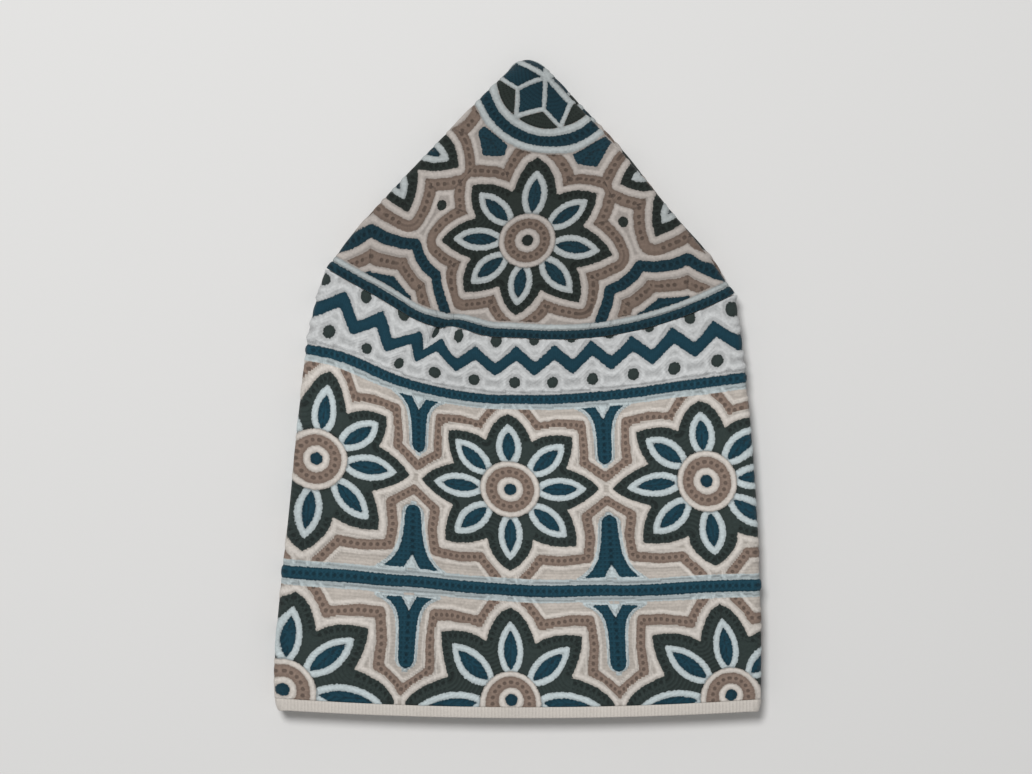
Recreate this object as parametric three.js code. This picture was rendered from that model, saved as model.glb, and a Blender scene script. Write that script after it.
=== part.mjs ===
import * as THREE from 'three';

// Driving sizes in mm. The cap lies folded in quarters, its tip towards +Y and its hem towards -Y.
const HEAD_CIRCUMFERENCE = 570;
const QUARTER_WIDTH = HEAD_CIRCUMFERENCE / 4;
const CROWN_DROP = 82.9;
const SIDE_HEIGHT = 109.4;
const CLOTH = 1.6;
const HEM_CLOTH = 2.0;

// Folds and joints in mm
const OUTER_CORNER = 1.6;
const SEAM_GAP = 0.3;

// Mesh fineness
const FLAT_STEPS = 12;
const FOLD_STEPS = 6;
const CORNER_STEPS = 3;
const SPINE_STEPS = 2;

// Sections of the crown, from the tip to the rim. Each is a curve through three points of the
// cloth's middle: across in shares of QUARTER_WIDTH from the centre line, down in shares of
// CROWN_DROP below the tip. Then the heights of the four layers above the floor, lowest first,
// in shares of CLOTH, how far the pocket between layers 2 and 3 reaches in, how much the loop is
// rounded to an oval, and how far the lower right fold stands out, in shares of CLOTH.
const CROWN_COLUMNS = [
  'leftX', 'leftDown', 'midX', 'midDown', 'rightX', 'rightDown',
  'z4', 'z3', 'z2', 'z1', 'pocket', 'oval', 'reach',
];
const CROWN_SECTIONS = [
  [0.014, 0.009, 0.014, 0.009, 0.014, 0.009, 2.70, 2.80, 2.90, 3.00, 0.0, 1.0, 0.0],
  [-0.006, 0.021, 0.014, 0.020, 0.036, 0.021, 1.25, 2.35, 3.45, 4.50, 0.0, 1.0, 0.0],
  [-0.017, 0.042, 0.014, 0.040, 0.054, 0.042, 0.65, 2.10, 3.65, 5.10, 0.0, 0.5, 0.1],
  [-0.033, 0.074, 0.014, 0.075, 0.069, 0.077, 0.50, 2.05, 3.65, 5.20, 0.0, 0.0, 0.5],
  [-0.067, 0.133, 0.016, 0.175, 0.103, 0.151, 0.50, 2.05, 3.65, 5.20, 0.6, 0.0, 0.8],
  [-0.149, 0.285, 0.020, 0.385, 0.190, 0.328, 0.50, 2.05, 3.65, 5.20, 1.0, 0.0, 0.8],
  [-0.244, 0.467, 0.023, 0.630, 0.293, 0.536, 0.50, 2.10, 3.75, 5.40, 1.0, 0.0, 0.3],
  [-0.325, 0.622, 0.026, 0.842, 0.381, 0.716, 0.50, 2.20, 3.80, 5.55, 1.0, 0.0, 0.8],
  [-0.380, 0.744, 0.029, 1.000, 0.438, 0.848, 0.50, 2.45, 3.90, 5.85, 1.0, 0.0, 0.0],
];
const CROWN_ROWS = [1, 2, 3, 3.5, 4, 4.5, 5, 5.5, 6, 6.5, 7, 7.5, 8];

// Sections of the side band and the hem edge, from the rim to the hem. Across as above, down in
// shares of SIDE_HEIGHT below the middle of the rim, and the layers' heights as above.
const SIDE_COLUMNS = [
  'leftX', 'leftDown', 'midX', 'midDown', 'rightX', 'rightDown', 'z4', 'z3', 'z2', 'z1',
];
const SIDE_SECTIONS = [
  [-0.381, -0.194, 0.029, 0.000, 0.440, -0.115, 0.78, 2.16, 4.16, 5.54],
  [-0.400, -0.114, 0.027, 0.064, 0.449, -0.027, 0.65, 2.10, 4.00, 5.50],
  [-0.431, 0.008, 0.024, 0.141, 0.462, 0.077, 0.50, 2.10, 3.80, 5.55],
  [-0.456, 0.205, 0.016, 0.316, 0.476, 0.258, 0.50, 2.10, 3.80, 5.70],
  [-0.470, 0.444, 0.010, 0.524, 0.488, 0.497, 0.50, 2.10, 3.80, 5.70],
  [-0.479, 0.657, 0.006, 0.702, 0.496, 0.684, 0.50, 2.10, 3.75, 5.60],
  [-0.491, 0.843, 0.002, 0.872, 0.496, 0.854, 0.52, 2.10, 3.70, 5.45],
  [-0.493, 0.941, 0.000, 0.965, 0.494, 0.944, 0.60, 2.20, 3.80, 5.40],
  [-0.487, 0.973, 0.002, 0.994, 0.488, 0.976, 0.63, 2.20, 3.80, 5.35],
];
const SIDE_ROWS = [0, 0.5, 1, 1.5, 2, 2.5, 3, 3.5, 4, 4.5, 5, 5.5, 6, 7];
const HEM_TOP_ROW = 7;
const HEM_END_ROW = 8;

// Soft swells and dents of the stack: centre across in shares of QUARTER_WIDTH, centre down from
// the tip in shares of the whole length, spread across and down in shares of QUARTER_WIDTH, rise
// in shares of CLOTH.
const LENGTH = CROWN_DROP + SIDE_HEIGHT;
const SWELLS = [
  [-0.10, 0.27, 0.13, 0.16, 0.45],
  [0.20, 0.33, 0.12, 0.12, 0.40],
  [-0.165, 0.425, 0.035, 0.030, -0.50],
  [-0.26, 0.62, 0.14, 0.14, 0.55],
  [0.22, 0.60, 0.17, 0.14, 0.65],
  [0.00, 0.80, 0.20, 0.10, 0.40],
  [-0.33, 0.88, 0.10, 0.07, 0.30],
  [0.36, 0.86, 0.09, 0.09, 0.35],
];

function mix(a, b, t) {
  return a + (b - a) * t;
}

// A row of a section table at a place between its rows, on a smooth curve through them
function sectionAt(rows, columns, place) {
  const i = Math.min(Math.floor(place), rows.length - 2);
  const t = place - i;
  const a = rows[Math.max(i - 1, 0)];
  const b = rows[i];
  const c = rows[i + 1];
  const d = rows[Math.min(i + 2, rows.length - 1)];
  const section = {};
  columns.forEach((name, k) => {
    const slopeB = (c[k] - a[k]) / 2;
    const slopeC = (d[k] - b[k]) / 2;
    section[name] =
      b[k] * (1 + 2 * t) * (1 - t) ** 2 + slopeB * t * (1 - t) ** 2 +
      c[k] * t * t * (3 - 2 * t) + slopeC * t * t * (t - 1);
  });
  return section;
}

// The section in mm, with the plan curve as a quadratic Bezier curve
function sized(section, dropUnit, dropStart) {
  const point = (x, down) =>
    new THREE.Vector2(x * QUARTER_WIDTH, -(dropStart + down * dropUnit));
  const left = point(section.leftX, section.leftDown);
  const middle = point(section.midX, section.midDown);
  const right = point(section.rightX, section.rightDown);
  const pull = middle.clone().multiplyScalar(2).sub(left.clone().add(right).multiplyScalar(0.5));
  return {
    curve: new THREE.QuadraticBezierCurve(left, pull, right),
    width: left.distanceTo(right) < 1e-9 ? 0 :
      new THREE.QuadraticBezierCurve(left, pull, right).getLength(),
    heights: [section.z4, section.z3, section.z2, section.z1].map((z) => z * CLOTH),
    pocket: section.pocket ?? 1,
    oval: section.oval ?? 0,
    reach: (section.reach ?? 0) * CLOTH,
  };
}

// Angles on the oval, in degrees, at the loop's joints: spine, layer 1, fold, layer 2, inner
// fold, layer 3, fold, layer 4 and spine again
const OVAL_STOPS = [170, 160, 55, 30, 8, -8, -30, -55, -160, -170, -190];

// One closed loop through the four layers, as distance along the section and height
function loopOf({ width, heights, pocket, oval, reach }) {
  const [z4, z3, z2, z1] = heights;
  const inner = (z2 - z3) / 2;
  const upper = (z1 - z2) / 2;
  const lower = (z3 - z4) / 2;
  const corner = Math.min(OUTER_CORNER, (z1 - z4) / 3, width / 4);
  const upperEnd = width - upper;
  const lowerEnd = width + reach - lower;
  const innerAt = mix(Math.min(upperEnd, lowerEnd), Math.min(width, corner + 3 * inner), pocket);
  const points = [];
  const arc = (s, z, rx, rz, from, to, steps) => {
    for (let i = 0; i < steps; i += 1) {
      const angle = THREE.MathUtils.degToRad(mix(from, to, i / steps));
      points.push([s + rx * Math.cos(angle), z + rz * Math.sin(angle)]);
    }
  };
  const run = (s0, s1, z, steps) => {
    for (let i = 0; i < steps; i += 1) points.push([mix(s0, s1, i / steps), z]);
  };
  arc(corner, z1 - corner, corner, corner, 180, 90, CORNER_STEPS);
  run(corner, upperEnd, z1, FLAT_STEPS);
  arc(upperEnd, (z1 + z2) / 2, upper, upper, 90, -90, FOLD_STEPS);
  run(upperEnd, innerAt, z2, FLAT_STEPS);
  arc(innerAt, (z2 + z3) / 2, inner, inner, 90, 270, FOLD_STEPS);
  run(innerAt, lowerEnd, z3, FLAT_STEPS);
  arc(lowerEnd, (z3 + z4) / 2, lower, lower, 90, -90, FOLD_STEPS);
  run(lowerEnd, corner, z4, FLAT_STEPS);
  arc(corner, z4 + corner, corner, corner, 270, 180, CORNER_STEPS);
  for (let i = 0; i < SPINE_STEPS; i += 1) {
    points.push([0, mix(z4 + corner, z1 - corner, i / SPINE_STEPS)]);
  }
  if (oval === 0) return points;
  const steps = [
    CORNER_STEPS, FLAT_STEPS, FOLD_STEPS, FLAT_STEPS, FOLD_STEPS,
    FLAT_STEPS, FOLD_STEPS, FLAT_STEPS, CORNER_STEPS, SPINE_STEPS,
  ];
  let at = 0;
  steps.forEach((count, k) => {
    for (let i = 0; i < count; i += 1) {
      const angle = THREE.MathUtils.degToRad(mix(OVAL_STOPS[k], OVAL_STOPS[k + 1], i / count));
      const s = width / 2 * (1 + Math.cos(angle));
      const z = (z1 + z4) / 2 + (z1 - z4) / 2 * Math.sin(angle);
      points[at] = [mix(points[at][0], s, oval), mix(points[at][1], z, oval)];
      at += 1;
    }
  });
  return points;
}

function swellAt(x, y) {
  return SWELLS.reduce((sum, [cx, down, spreadX, spreadY, rise]) => {
    const u = (x / QUARTER_WIDTH - cx) / spreadX;
    const v = (y + down * LENGTH) / (spreadY * QUARTER_WIDTH);
    return sum + rise * CLOTH * Math.exp(-u * u - v * v);
  }, 0);
}

// The loop laid along its plan curve, the stack stretched in height by the swells
function placeLoop(section) {
  const { curve, width, heights } = section;
  const [z4, , , z1] = heights;
  return loopOf(section).map(([s, z]) => {
    const t = width === 0 ? 0 : s / width;
    const p = curve.getPointAt(Math.min(Math.max(t, 0), 1));
    if (t > 1) p.add(curve.getTangentAt(1).multiplyScalar(s - width));
    const stretch = 1 + swellAt(p.x, p.y) / Math.max(z1 - z4, 4 * CLOTH);
    return new THREE.Vector3(p.x, p.y, z4 + (z - z4) * stretch);
  });
}

// Outward normals of a grid of loops
function normalsOf(grid) {
  return grid.map((loop, j) => loop.map((point, i) => {
    const count = loop.length;
    const around = loop[(i + 1) % count].clone().sub(loop[(i + count - 1) % count]);
    const rowBefore = grid[Math.max(j - 1, 0)][i];
    const rowAfter = grid[Math.min(j + 1, grid.length - 1)][i];
    const along = rowAfter.clone().sub(rowBefore);
    return along.cross(around).normalize();
  }));
}

// A closed shell of cloth on both sides of the grid. A tip point closes its first end.
function clothGeometry(grid, thickness, tip = null) {
  const normals = normalsOf(grid);
  const rows = grid.length;
  const count = grid[0].length;
  const positions = [];
  [1, -1].forEach((side) => {
    grid.forEach((loop, j) => loop.forEach((point, i) => {
      const moved = point.clone().addScaledVector(normals[j][i], side * thickness / 2);
      positions.push(moved.x, moved.y, Math.max(moved.z, 0));
    }));
  });
  const index = [];
  const at = (side, j, i) => (side * rows + j) * count + (i % count);
  const quad = (a, b, c, d) => index.push(a, b, c, a, c, d);
  for (let j = 0; j < rows - 1; j += 1) {
    for (let i = 0; i < count; i += 1) {
      quad(at(0, j, i), at(0, j + 1, i), at(0, j + 1, i + 1), at(0, j, i + 1));
      quad(at(1, j, i), at(1, j, i + 1), at(1, j + 1, i + 1), at(1, j + 1, i));
    }
  }
  for (let i = 0; i < count; i += 1) {
    quad(at(0, rows - 1, i), at(1, rows - 1, i), at(1, rows - 1, i + 1), at(0, rows - 1, i + 1));
  }
  if (tip === null) {
    for (let i = 0; i < count; i += 1) {
      quad(at(0, 0, i), at(0, 0, i + 1), at(1, 0, i + 1), at(1, 0, i));
    }
  } else {
    const pole = positions.length / 3;
    positions.push(tip.x, tip.y + thickness / 2, tip.z);
    positions.push(tip.x, tip.y - thickness / 2, tip.z);
    for (let i = 0; i < count; i += 1) {
      index.push(pole, at(0, 0, i), at(0, 0, i + 1));
      index.push(pole + 1, at(1, 0, i + 1), at(1, 0, i));
    }
  }
  const geometry = new THREE.BufferGeometry();
  geometry.setAttribute('position', new THREE.Float32BufferAttribute(positions, 3));
  geometry.setIndex(index);
  geometry.computeVertexNormals();
  return geometry;
}

function crownGeometry() {
  const section = (place) => sized(sectionAt(CROWN_SECTIONS, CROWN_COLUMNS, place), CROWN_DROP, 0);
  const tip = placeLoop(section(0))[0];
  return clothGeometry(CROWN_ROWS.map((place) => placeLoop(section(place))), CLOTH, tip);
}

// Loops of the side from one place in the table to another, moved down by a start in mm
function sideGrid(places, start) {
  return places.map((place) =>
    placeLoop(sized(sectionAt(SIDE_SECTIONS, SIDE_COLUMNS, place), SIDE_HEIGHT, start)));
}

function bandGeometry() {
  return clothGeometry(sideGrid(SIDE_ROWS, CROWN_DROP + SEAM_GAP), CLOTH);
}

function hemGeometry() {
  const places = [HEM_TOP_ROW, (HEM_TOP_ROW + HEM_END_ROW) / 2, HEM_END_ROW];
  return clothGeometry(sideGrid(places, CROWN_DROP + 2 * SEAM_GAP), HEM_CLOTH);
}

function piece(name, geometry, colour) {
  const material = new THREE.MeshStandardMaterial({ color: colour, roughness: 0.9, metalness: 0 });
  const mesh = new THREE.Mesh(geometry, material);
  mesh.name = name;
  return mesh;
}

const cap = new THREE.Group();
cap.name = 'kumma_cap';
cap.add(piece('crown', crownGeometry(), 0x3c5560));
cap.add(piece('side_band', bandGeometry(), 0xb9b0a2));
cap.add(piece('hem_edge', hemGeometry(), 0xe2dace));

// Origin: the middle of the outline on the floor
const box = new THREE.Box3().setFromObject(cap);
const centre = box.getCenter(new THREE.Vector3());
cap.children.forEach((mesh) => mesh.geometry.translate(-centre.x, -centre.y, -box.min.z));

export default cap;
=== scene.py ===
"""A folded embroidered kumma cap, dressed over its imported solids.

The cap lies folded in quarters: four layers of cloth, seen from straight above. The form is the
same fold as the solids have, drawn finer, and the embroidery is worked out from the measures of
its pattern, as real relief on the cloth and as fields that the thread materials read.
"""

from __future__ import annotations

import logging
import math
from collections.abc import Callable
from dataclasses import astuple, dataclass
from enum import Enum

import bpy
import numpy as np
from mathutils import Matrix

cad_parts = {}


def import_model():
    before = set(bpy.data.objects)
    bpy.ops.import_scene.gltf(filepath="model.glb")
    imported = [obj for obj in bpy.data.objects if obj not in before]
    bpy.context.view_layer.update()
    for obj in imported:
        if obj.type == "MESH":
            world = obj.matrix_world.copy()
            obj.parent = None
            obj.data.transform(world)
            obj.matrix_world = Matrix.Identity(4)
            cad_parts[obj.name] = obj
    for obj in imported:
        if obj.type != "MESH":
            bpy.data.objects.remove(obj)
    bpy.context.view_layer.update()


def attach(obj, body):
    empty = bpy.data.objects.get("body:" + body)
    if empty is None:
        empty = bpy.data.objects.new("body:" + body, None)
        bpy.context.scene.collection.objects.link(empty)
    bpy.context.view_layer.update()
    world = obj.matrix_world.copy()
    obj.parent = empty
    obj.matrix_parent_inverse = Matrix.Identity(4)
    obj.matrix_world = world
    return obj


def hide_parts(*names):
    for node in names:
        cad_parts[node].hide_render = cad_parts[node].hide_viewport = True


LOG = logging.getLogger("kumma_cap")
MM = 0.001
ROOT = "root"

# Sizes of the folded form in mm, the same as the solids'
HEAD_SIZE = 570.0
LAYERS = 4
QUARTER_WIDTH = HEAD_SIZE / LAYERS
CROWN_DROP = 82.9
SIDE_HEIGHT = 109.4
LENGTH = CROWN_DROP + SIDE_HEIGHT
CLOTH = 1.6
HEM_CLOTH = 2.0
OUTER_CORNER = 1.6
SEAM_GAP = 0.3
SEAM_TOUCH = 0.03
TIP_SETBACK = 0.746
SMALLEST = 1e-9

# Where the tip, from which the form is drawn, lies in the frame, in mm
ORIGIN_SHIFT = (-0.165, 96.113)

# The pattern is laid out in its own unit, of which the folded hem is 490 long, across from 0 at
# the left of the layout sheet and down from 0 above the cap's tip
HEM_UNITS = 490.0
UNIT = QUARTER_WIDTH / HEM_UNITS
SHEET_MIDDLE = 520.0
TIP_DOWN = 58.0

# The distance that stands for a thread that isn't there
FAR = 99.0

# A row for each section across the crown. Its columns are left x, left down, middle x, middle
# down, right x, right down, the heights of layers 4, 3, 2 and 1 in cloths, pocket, oval, reach.
# x is a share of QUARTER_WIDTH and down of CROWN_DROP. Pocket takes the inner fold from the right
# edge to the left one, oval rounds the loop off at the tip, and reach sets the lower fold out.
CROWN_SECTIONS = np.array([
    [0.014, 0.009, 0.014, 0.009, 0.014, 0.009, 2.70, 2.80, 2.90, 3.00, 0.0, 1.0, 0.0],
    [-0.006, 0.021, 0.014, 0.020, 0.036, 0.021, 1.25, 2.35, 3.45, 4.50, 0.0, 1.0, 0.0],
    [-0.017, 0.042, 0.014, 0.040, 0.054, 0.042, 0.65, 2.10, 3.65, 5.10, 0.0, 0.5, 0.1],
    [-0.034, 0.074, 0.014, 0.075, 0.069, 0.077, 0.50, 2.05, 3.65, 5.20, 0.0, 0.0, 0.5],
    [-0.070, 0.133, 0.016, 0.175, 0.103, 0.151, 0.50, 2.05, 3.65, 5.20, 0.6, 0.0, 0.8],
    [-0.155, 0.285, 0.020, 0.385, 0.199, 0.328, 0.50, 2.05, 3.65, 5.20, 1.0, 0.0, 0.8],
    [-0.256, 0.467, 0.023, 0.630, 0.301, 0.536, 0.50, 2.10, 3.75, 5.40, 1.0, 0.0, 0.3],
    [-0.337, 0.622, 0.026, 0.836, 0.383, 0.710, 0.50, 2.20, 3.80, 5.55, 1.0, 0.0, 0.8],
    [-0.389, 0.744, 0.029, 0.985, 0.432, 0.832, 0.50, 2.45, 3.90, 5.85, 1.0, 0.0, 0.0],
])

# A row for each section across the side, with the first ten of those columns. Here down is a
# share of SIDE_HEIGHT.
SIDE_SECTIONS = np.array([
    [-0.390, -0.194, 0.029, -0.0114, 0.434, -0.1271, 0.78, 2.16, 4.16, 5.54],
    [-0.410, -0.114, 0.027, 0.056, 0.443, -0.034, 0.65, 2.10, 4.00, 5.50],
    [-0.430, 0.008, 0.024, 0.137, 0.454, 0.074, 0.50, 2.10, 3.80, 5.55],
    [-0.448, 0.205, 0.016, 0.316, 0.468, 0.258, 0.50, 2.10, 3.80, 5.70],
    [-0.466, 0.444, 0.010, 0.524, 0.480, 0.497, 0.50, 2.10, 3.80, 5.70],
    [-0.484, 0.657, 0.006, 0.702, 0.486, 0.684, 0.50, 2.10, 3.75, 5.60],
    [-0.496, 0.843, 0.002, 0.872, 0.487, 0.854, 0.52, 2.10, 3.70, 5.45],
    [-0.495, 0.941, 0.000, 0.965, 0.486, 0.944, 0.60, 2.20, 3.80, 5.40],
    [-0.488, 0.973, 0.002, 0.994, 0.481, 0.976, 0.63, 2.20, 3.80, 5.35],
])

# The column of the middle's down in both tables, and the side's row where the hem begins
MIDDLE_DOWN = 3
HEM_FROM = 7.0

# Where the stack swells or is creased: centre across, centre down, spread along its direction,
# spread across it, direction in degrees, rise in cloths. Down is a share of LENGTH and the others
# are of QUARTER_WIDTH.
SWELLS = np.array([
    [-0.10, 0.27, 0.13, 0.16, 0.0, 0.45],
    [0.20, 0.33, 0.12, 0.12, 0.0, 0.40],
    [-0.168, 0.418, 0.060, 0.018, 45.0, -1.30],
    [-0.134, 0.433, 0.055, 0.020, 45.0, 0.45],
    [-0.26, 0.62, 0.14, 0.14, 0.0, 0.55],
    [0.22, 0.60, 0.17, 0.14, 0.0, 0.65],
    [0.00, 0.80, 0.20, 0.10, 0.0, 0.40],
    [-0.33, 0.88, 0.10, 0.07, 0.0, 0.30],
    [0.36, 0.86, 0.09, 0.09, 0.0, 0.35],
])

# Where the rim is pulled down: centre across, centre down, spread across, spread down, pull in mm
PULLS = np.array([
    [-0.204, 0.397, 0.067, 0.100, 2.2],
    [-0.067, 0.415, 0.045, 0.080, 0.9],
])

# Angles on the tip's oval, in degrees, where the loop's ten stretches meet
OVAL_STOPS = (170, 160, 55, 30, 8, -8, -30, -55, -160, -170, -190)


class Stretch(Enum):
    """The ten stretches of a loop through the four layers, in order."""

    TOP_CORNER = 0
    LAYER_1 = 1
    UPPER_FOLD = 2
    LAYER_2 = 3
    INNER_FOLD = 4
    LAYER_3 = 5
    LOWER_FOLD = 6
    LAYER_4 = 7
    FLOOR_CORNER = 8
    SPINE = 9


def mix(a: np.ndarray | float, b: np.ndarray | float, t: np.ndarray | float) -> np.ndarray:
    """The value t of the way from a to b."""
    return a + (b - a) * t


def puff(field: np.ndarray, softness: float) -> np.ndarray:
    """How full a stitched area stands inside its edge, from 0 at the edge to 1.

    Args:
        field: Signed distance to the area, below zero inside.
        softness: Distance over which it fills.

    Returns:
        The fullness at each point.
    """
    return 1.0 - np.exp(-np.maximum(-field, 0.0) / softness)


def hollows(relief: np.ndarray, reach: int = 3, depth: float = 0.15) -> np.ndarray:
    """How far each point lies below the mean height around it, used for painted shade in valleys
    and painted highlight on crests.

    Args:
        relief: Heights on a folded grid, in mm.
        reach: Steps to each side that the mean takes in.
        depth: The depth in mm that counts as 1.

    Returns:
        The depth, below zero on a crest.
    """
    mean = np.pad(relief, ((reach, reach), (0, 0)), mode="edge")
    rows = len(relief)
    mean = sum(mean[k:k + rows] for k in range(2 * reach + 1)) / (2 * reach + 1)
    mean = sum(np.roll(mean, k, axis=1) for k in range(-reach, reach + 1)) / (2 * reach + 1)
    return (mean - relief) / depth


def row_at(table: np.ndarray, places: np.ndarray) -> np.ndarray:
    """Rows of a section table at places between its rows, on a smooth curve through them.

    Args:
        table: The table, a row for each section.
        places: Row numbers, whole or not.

    Returns:
        A table with a row for each place.
    """
    i = np.minimum(np.floor(places).astype(int), len(table) - 2)
    t = (places - i)[:, None]
    a = table[np.maximum(i - 1, 0)]
    b = table[i]
    c = table[i + 1]
    d = table[np.minimum(i + 2, len(table) - 1)]
    return (
        b * (1 + 2 * t) * (1 - t) ** 2 + (c - a) / 2 * t * (1 - t) ** 2
        + c * t * t * (3 - 2 * t) + (d - b) / 2 * t * t * (t - 1)
    )


@dataclass(frozen=True)
class LoopSpacing:
    """How many steps each stretch of a loop is drawn with, in the order of Stretch."""

    top_corner: int = 4
    layer_1: int = 264
    upper_fold: int = 8
    layer_2: int = 6
    inner_fold: int = 5
    layer_3: int = 6
    lower_fold: int = 5
    layer_4: int = 110
    floor_corner: int = 3
    spine: int = 6

    def columns(self) -> tuple[np.ndarray, np.ndarray]:
        """How the loop's columns are spread over its stretches.

        Returns:
            The stretch of each column and how far along it the column is.
        """
        counts = astuple(self)
        stretch = np.concatenate([np.full(n, part.value) for part, n in zip(Stretch, counts)])
        share = np.concatenate([np.arange(n) / n for n in counts])
        return stretch, share


@dataclass
class FoldedGrid:
    """The middle surface of folded cloth as a grid of closed loops."""

    points: np.ndarray
    stretch: np.ndarray

    def normals(self) -> np.ndarray:
        """Directions square to the grid.

        Returns:
            Outward unit normals, one for each point.
        """
        ahead = np.roll(self.points, -1, axis=1) - self.points
        ahead /= np.maximum(np.linalg.norm(ahead, axis=2, keepdims=True), SMALLEST)
        around = ahead + np.roll(ahead, 1, axis=1)
        along = np.gradient(self.points, axis=0)
        normal = np.cross(along, around)
        return normal / np.maximum(np.linalg.norm(normal, axis=2, keepdims=True), SMALLEST)

    def pattern_places(self) -> tuple[np.ndarray, np.ndarray]:
        """Where each point of the top layer lies on the pattern's layout sheet.

        Returns:
            Across and down on the sheet, for the whole grid.
        """
        across = self.points[:, :, 0] / UNIT + SHEET_MIDDLE
        down = -self.points[:, :, 1] / UNIT + TIP_DOWN
        return across, down

    def seen(self) -> np.ndarray:
        """Which columns are seen from above: the top layer with the rounding at its two sides."""
        fold = np.flatnonzero(self.stretch == Stretch.UPPER_FOLD.value)
        return np.arange(len(self.stretch)) < fold[len(fold) // 2]

    def top_columns(self) -> np.ndarray:
        """The numbers of the columns seen from above."""
        return np.flatnonzero(self.seen())

    def on_top(
        self, measure: Callable, across: np.ndarray, down: np.ndarray
    ) -> tuple[np.ndarray, np.ndarray]:
        """Two measures worked out for the top layer only.

        Args:
            measure: Gives the two measures at places on the layout sheet.
            across: Across the sheet, for the whole grid.
            down: Down the sheet.

        Returns:
            The measures, zero off the top layer.
        """
        top = self.top_columns()
        first, second = np.zeros_like(across), np.zeros_like(across)
        first[:, top], second[:, top] = measure(across[:, top], down[:, top])
        return first, second

    def carried_round(self, value: np.ndarray, period: float) -> np.ndarray:
        """A pattern measure of the top layer, carried on round the other three layers.

        Args:
            value: The measure, right on the top layer.
            period: How much it grows in one turn round the loop.

        Returns:
            The measure with every other column filled in, so that it closes on itself.
        """
        steps = np.linalg.norm(np.roll(self.points, -1, axis=1) - self.points, axis=2)
        run = np.cumsum(steps, axis=1) - steps
        total = steps.sum(axis=1, keepdims=True)
        top = self.top_columns()
        last = top[-1]
        share = (run - run[:, last:last + 1]) / (total - run[:, last:last + 1])
        other = mix(value[:, last:last + 1], value[:, :1] + period, share)
        return np.where(self.seen()[None, :], value, other)


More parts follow.
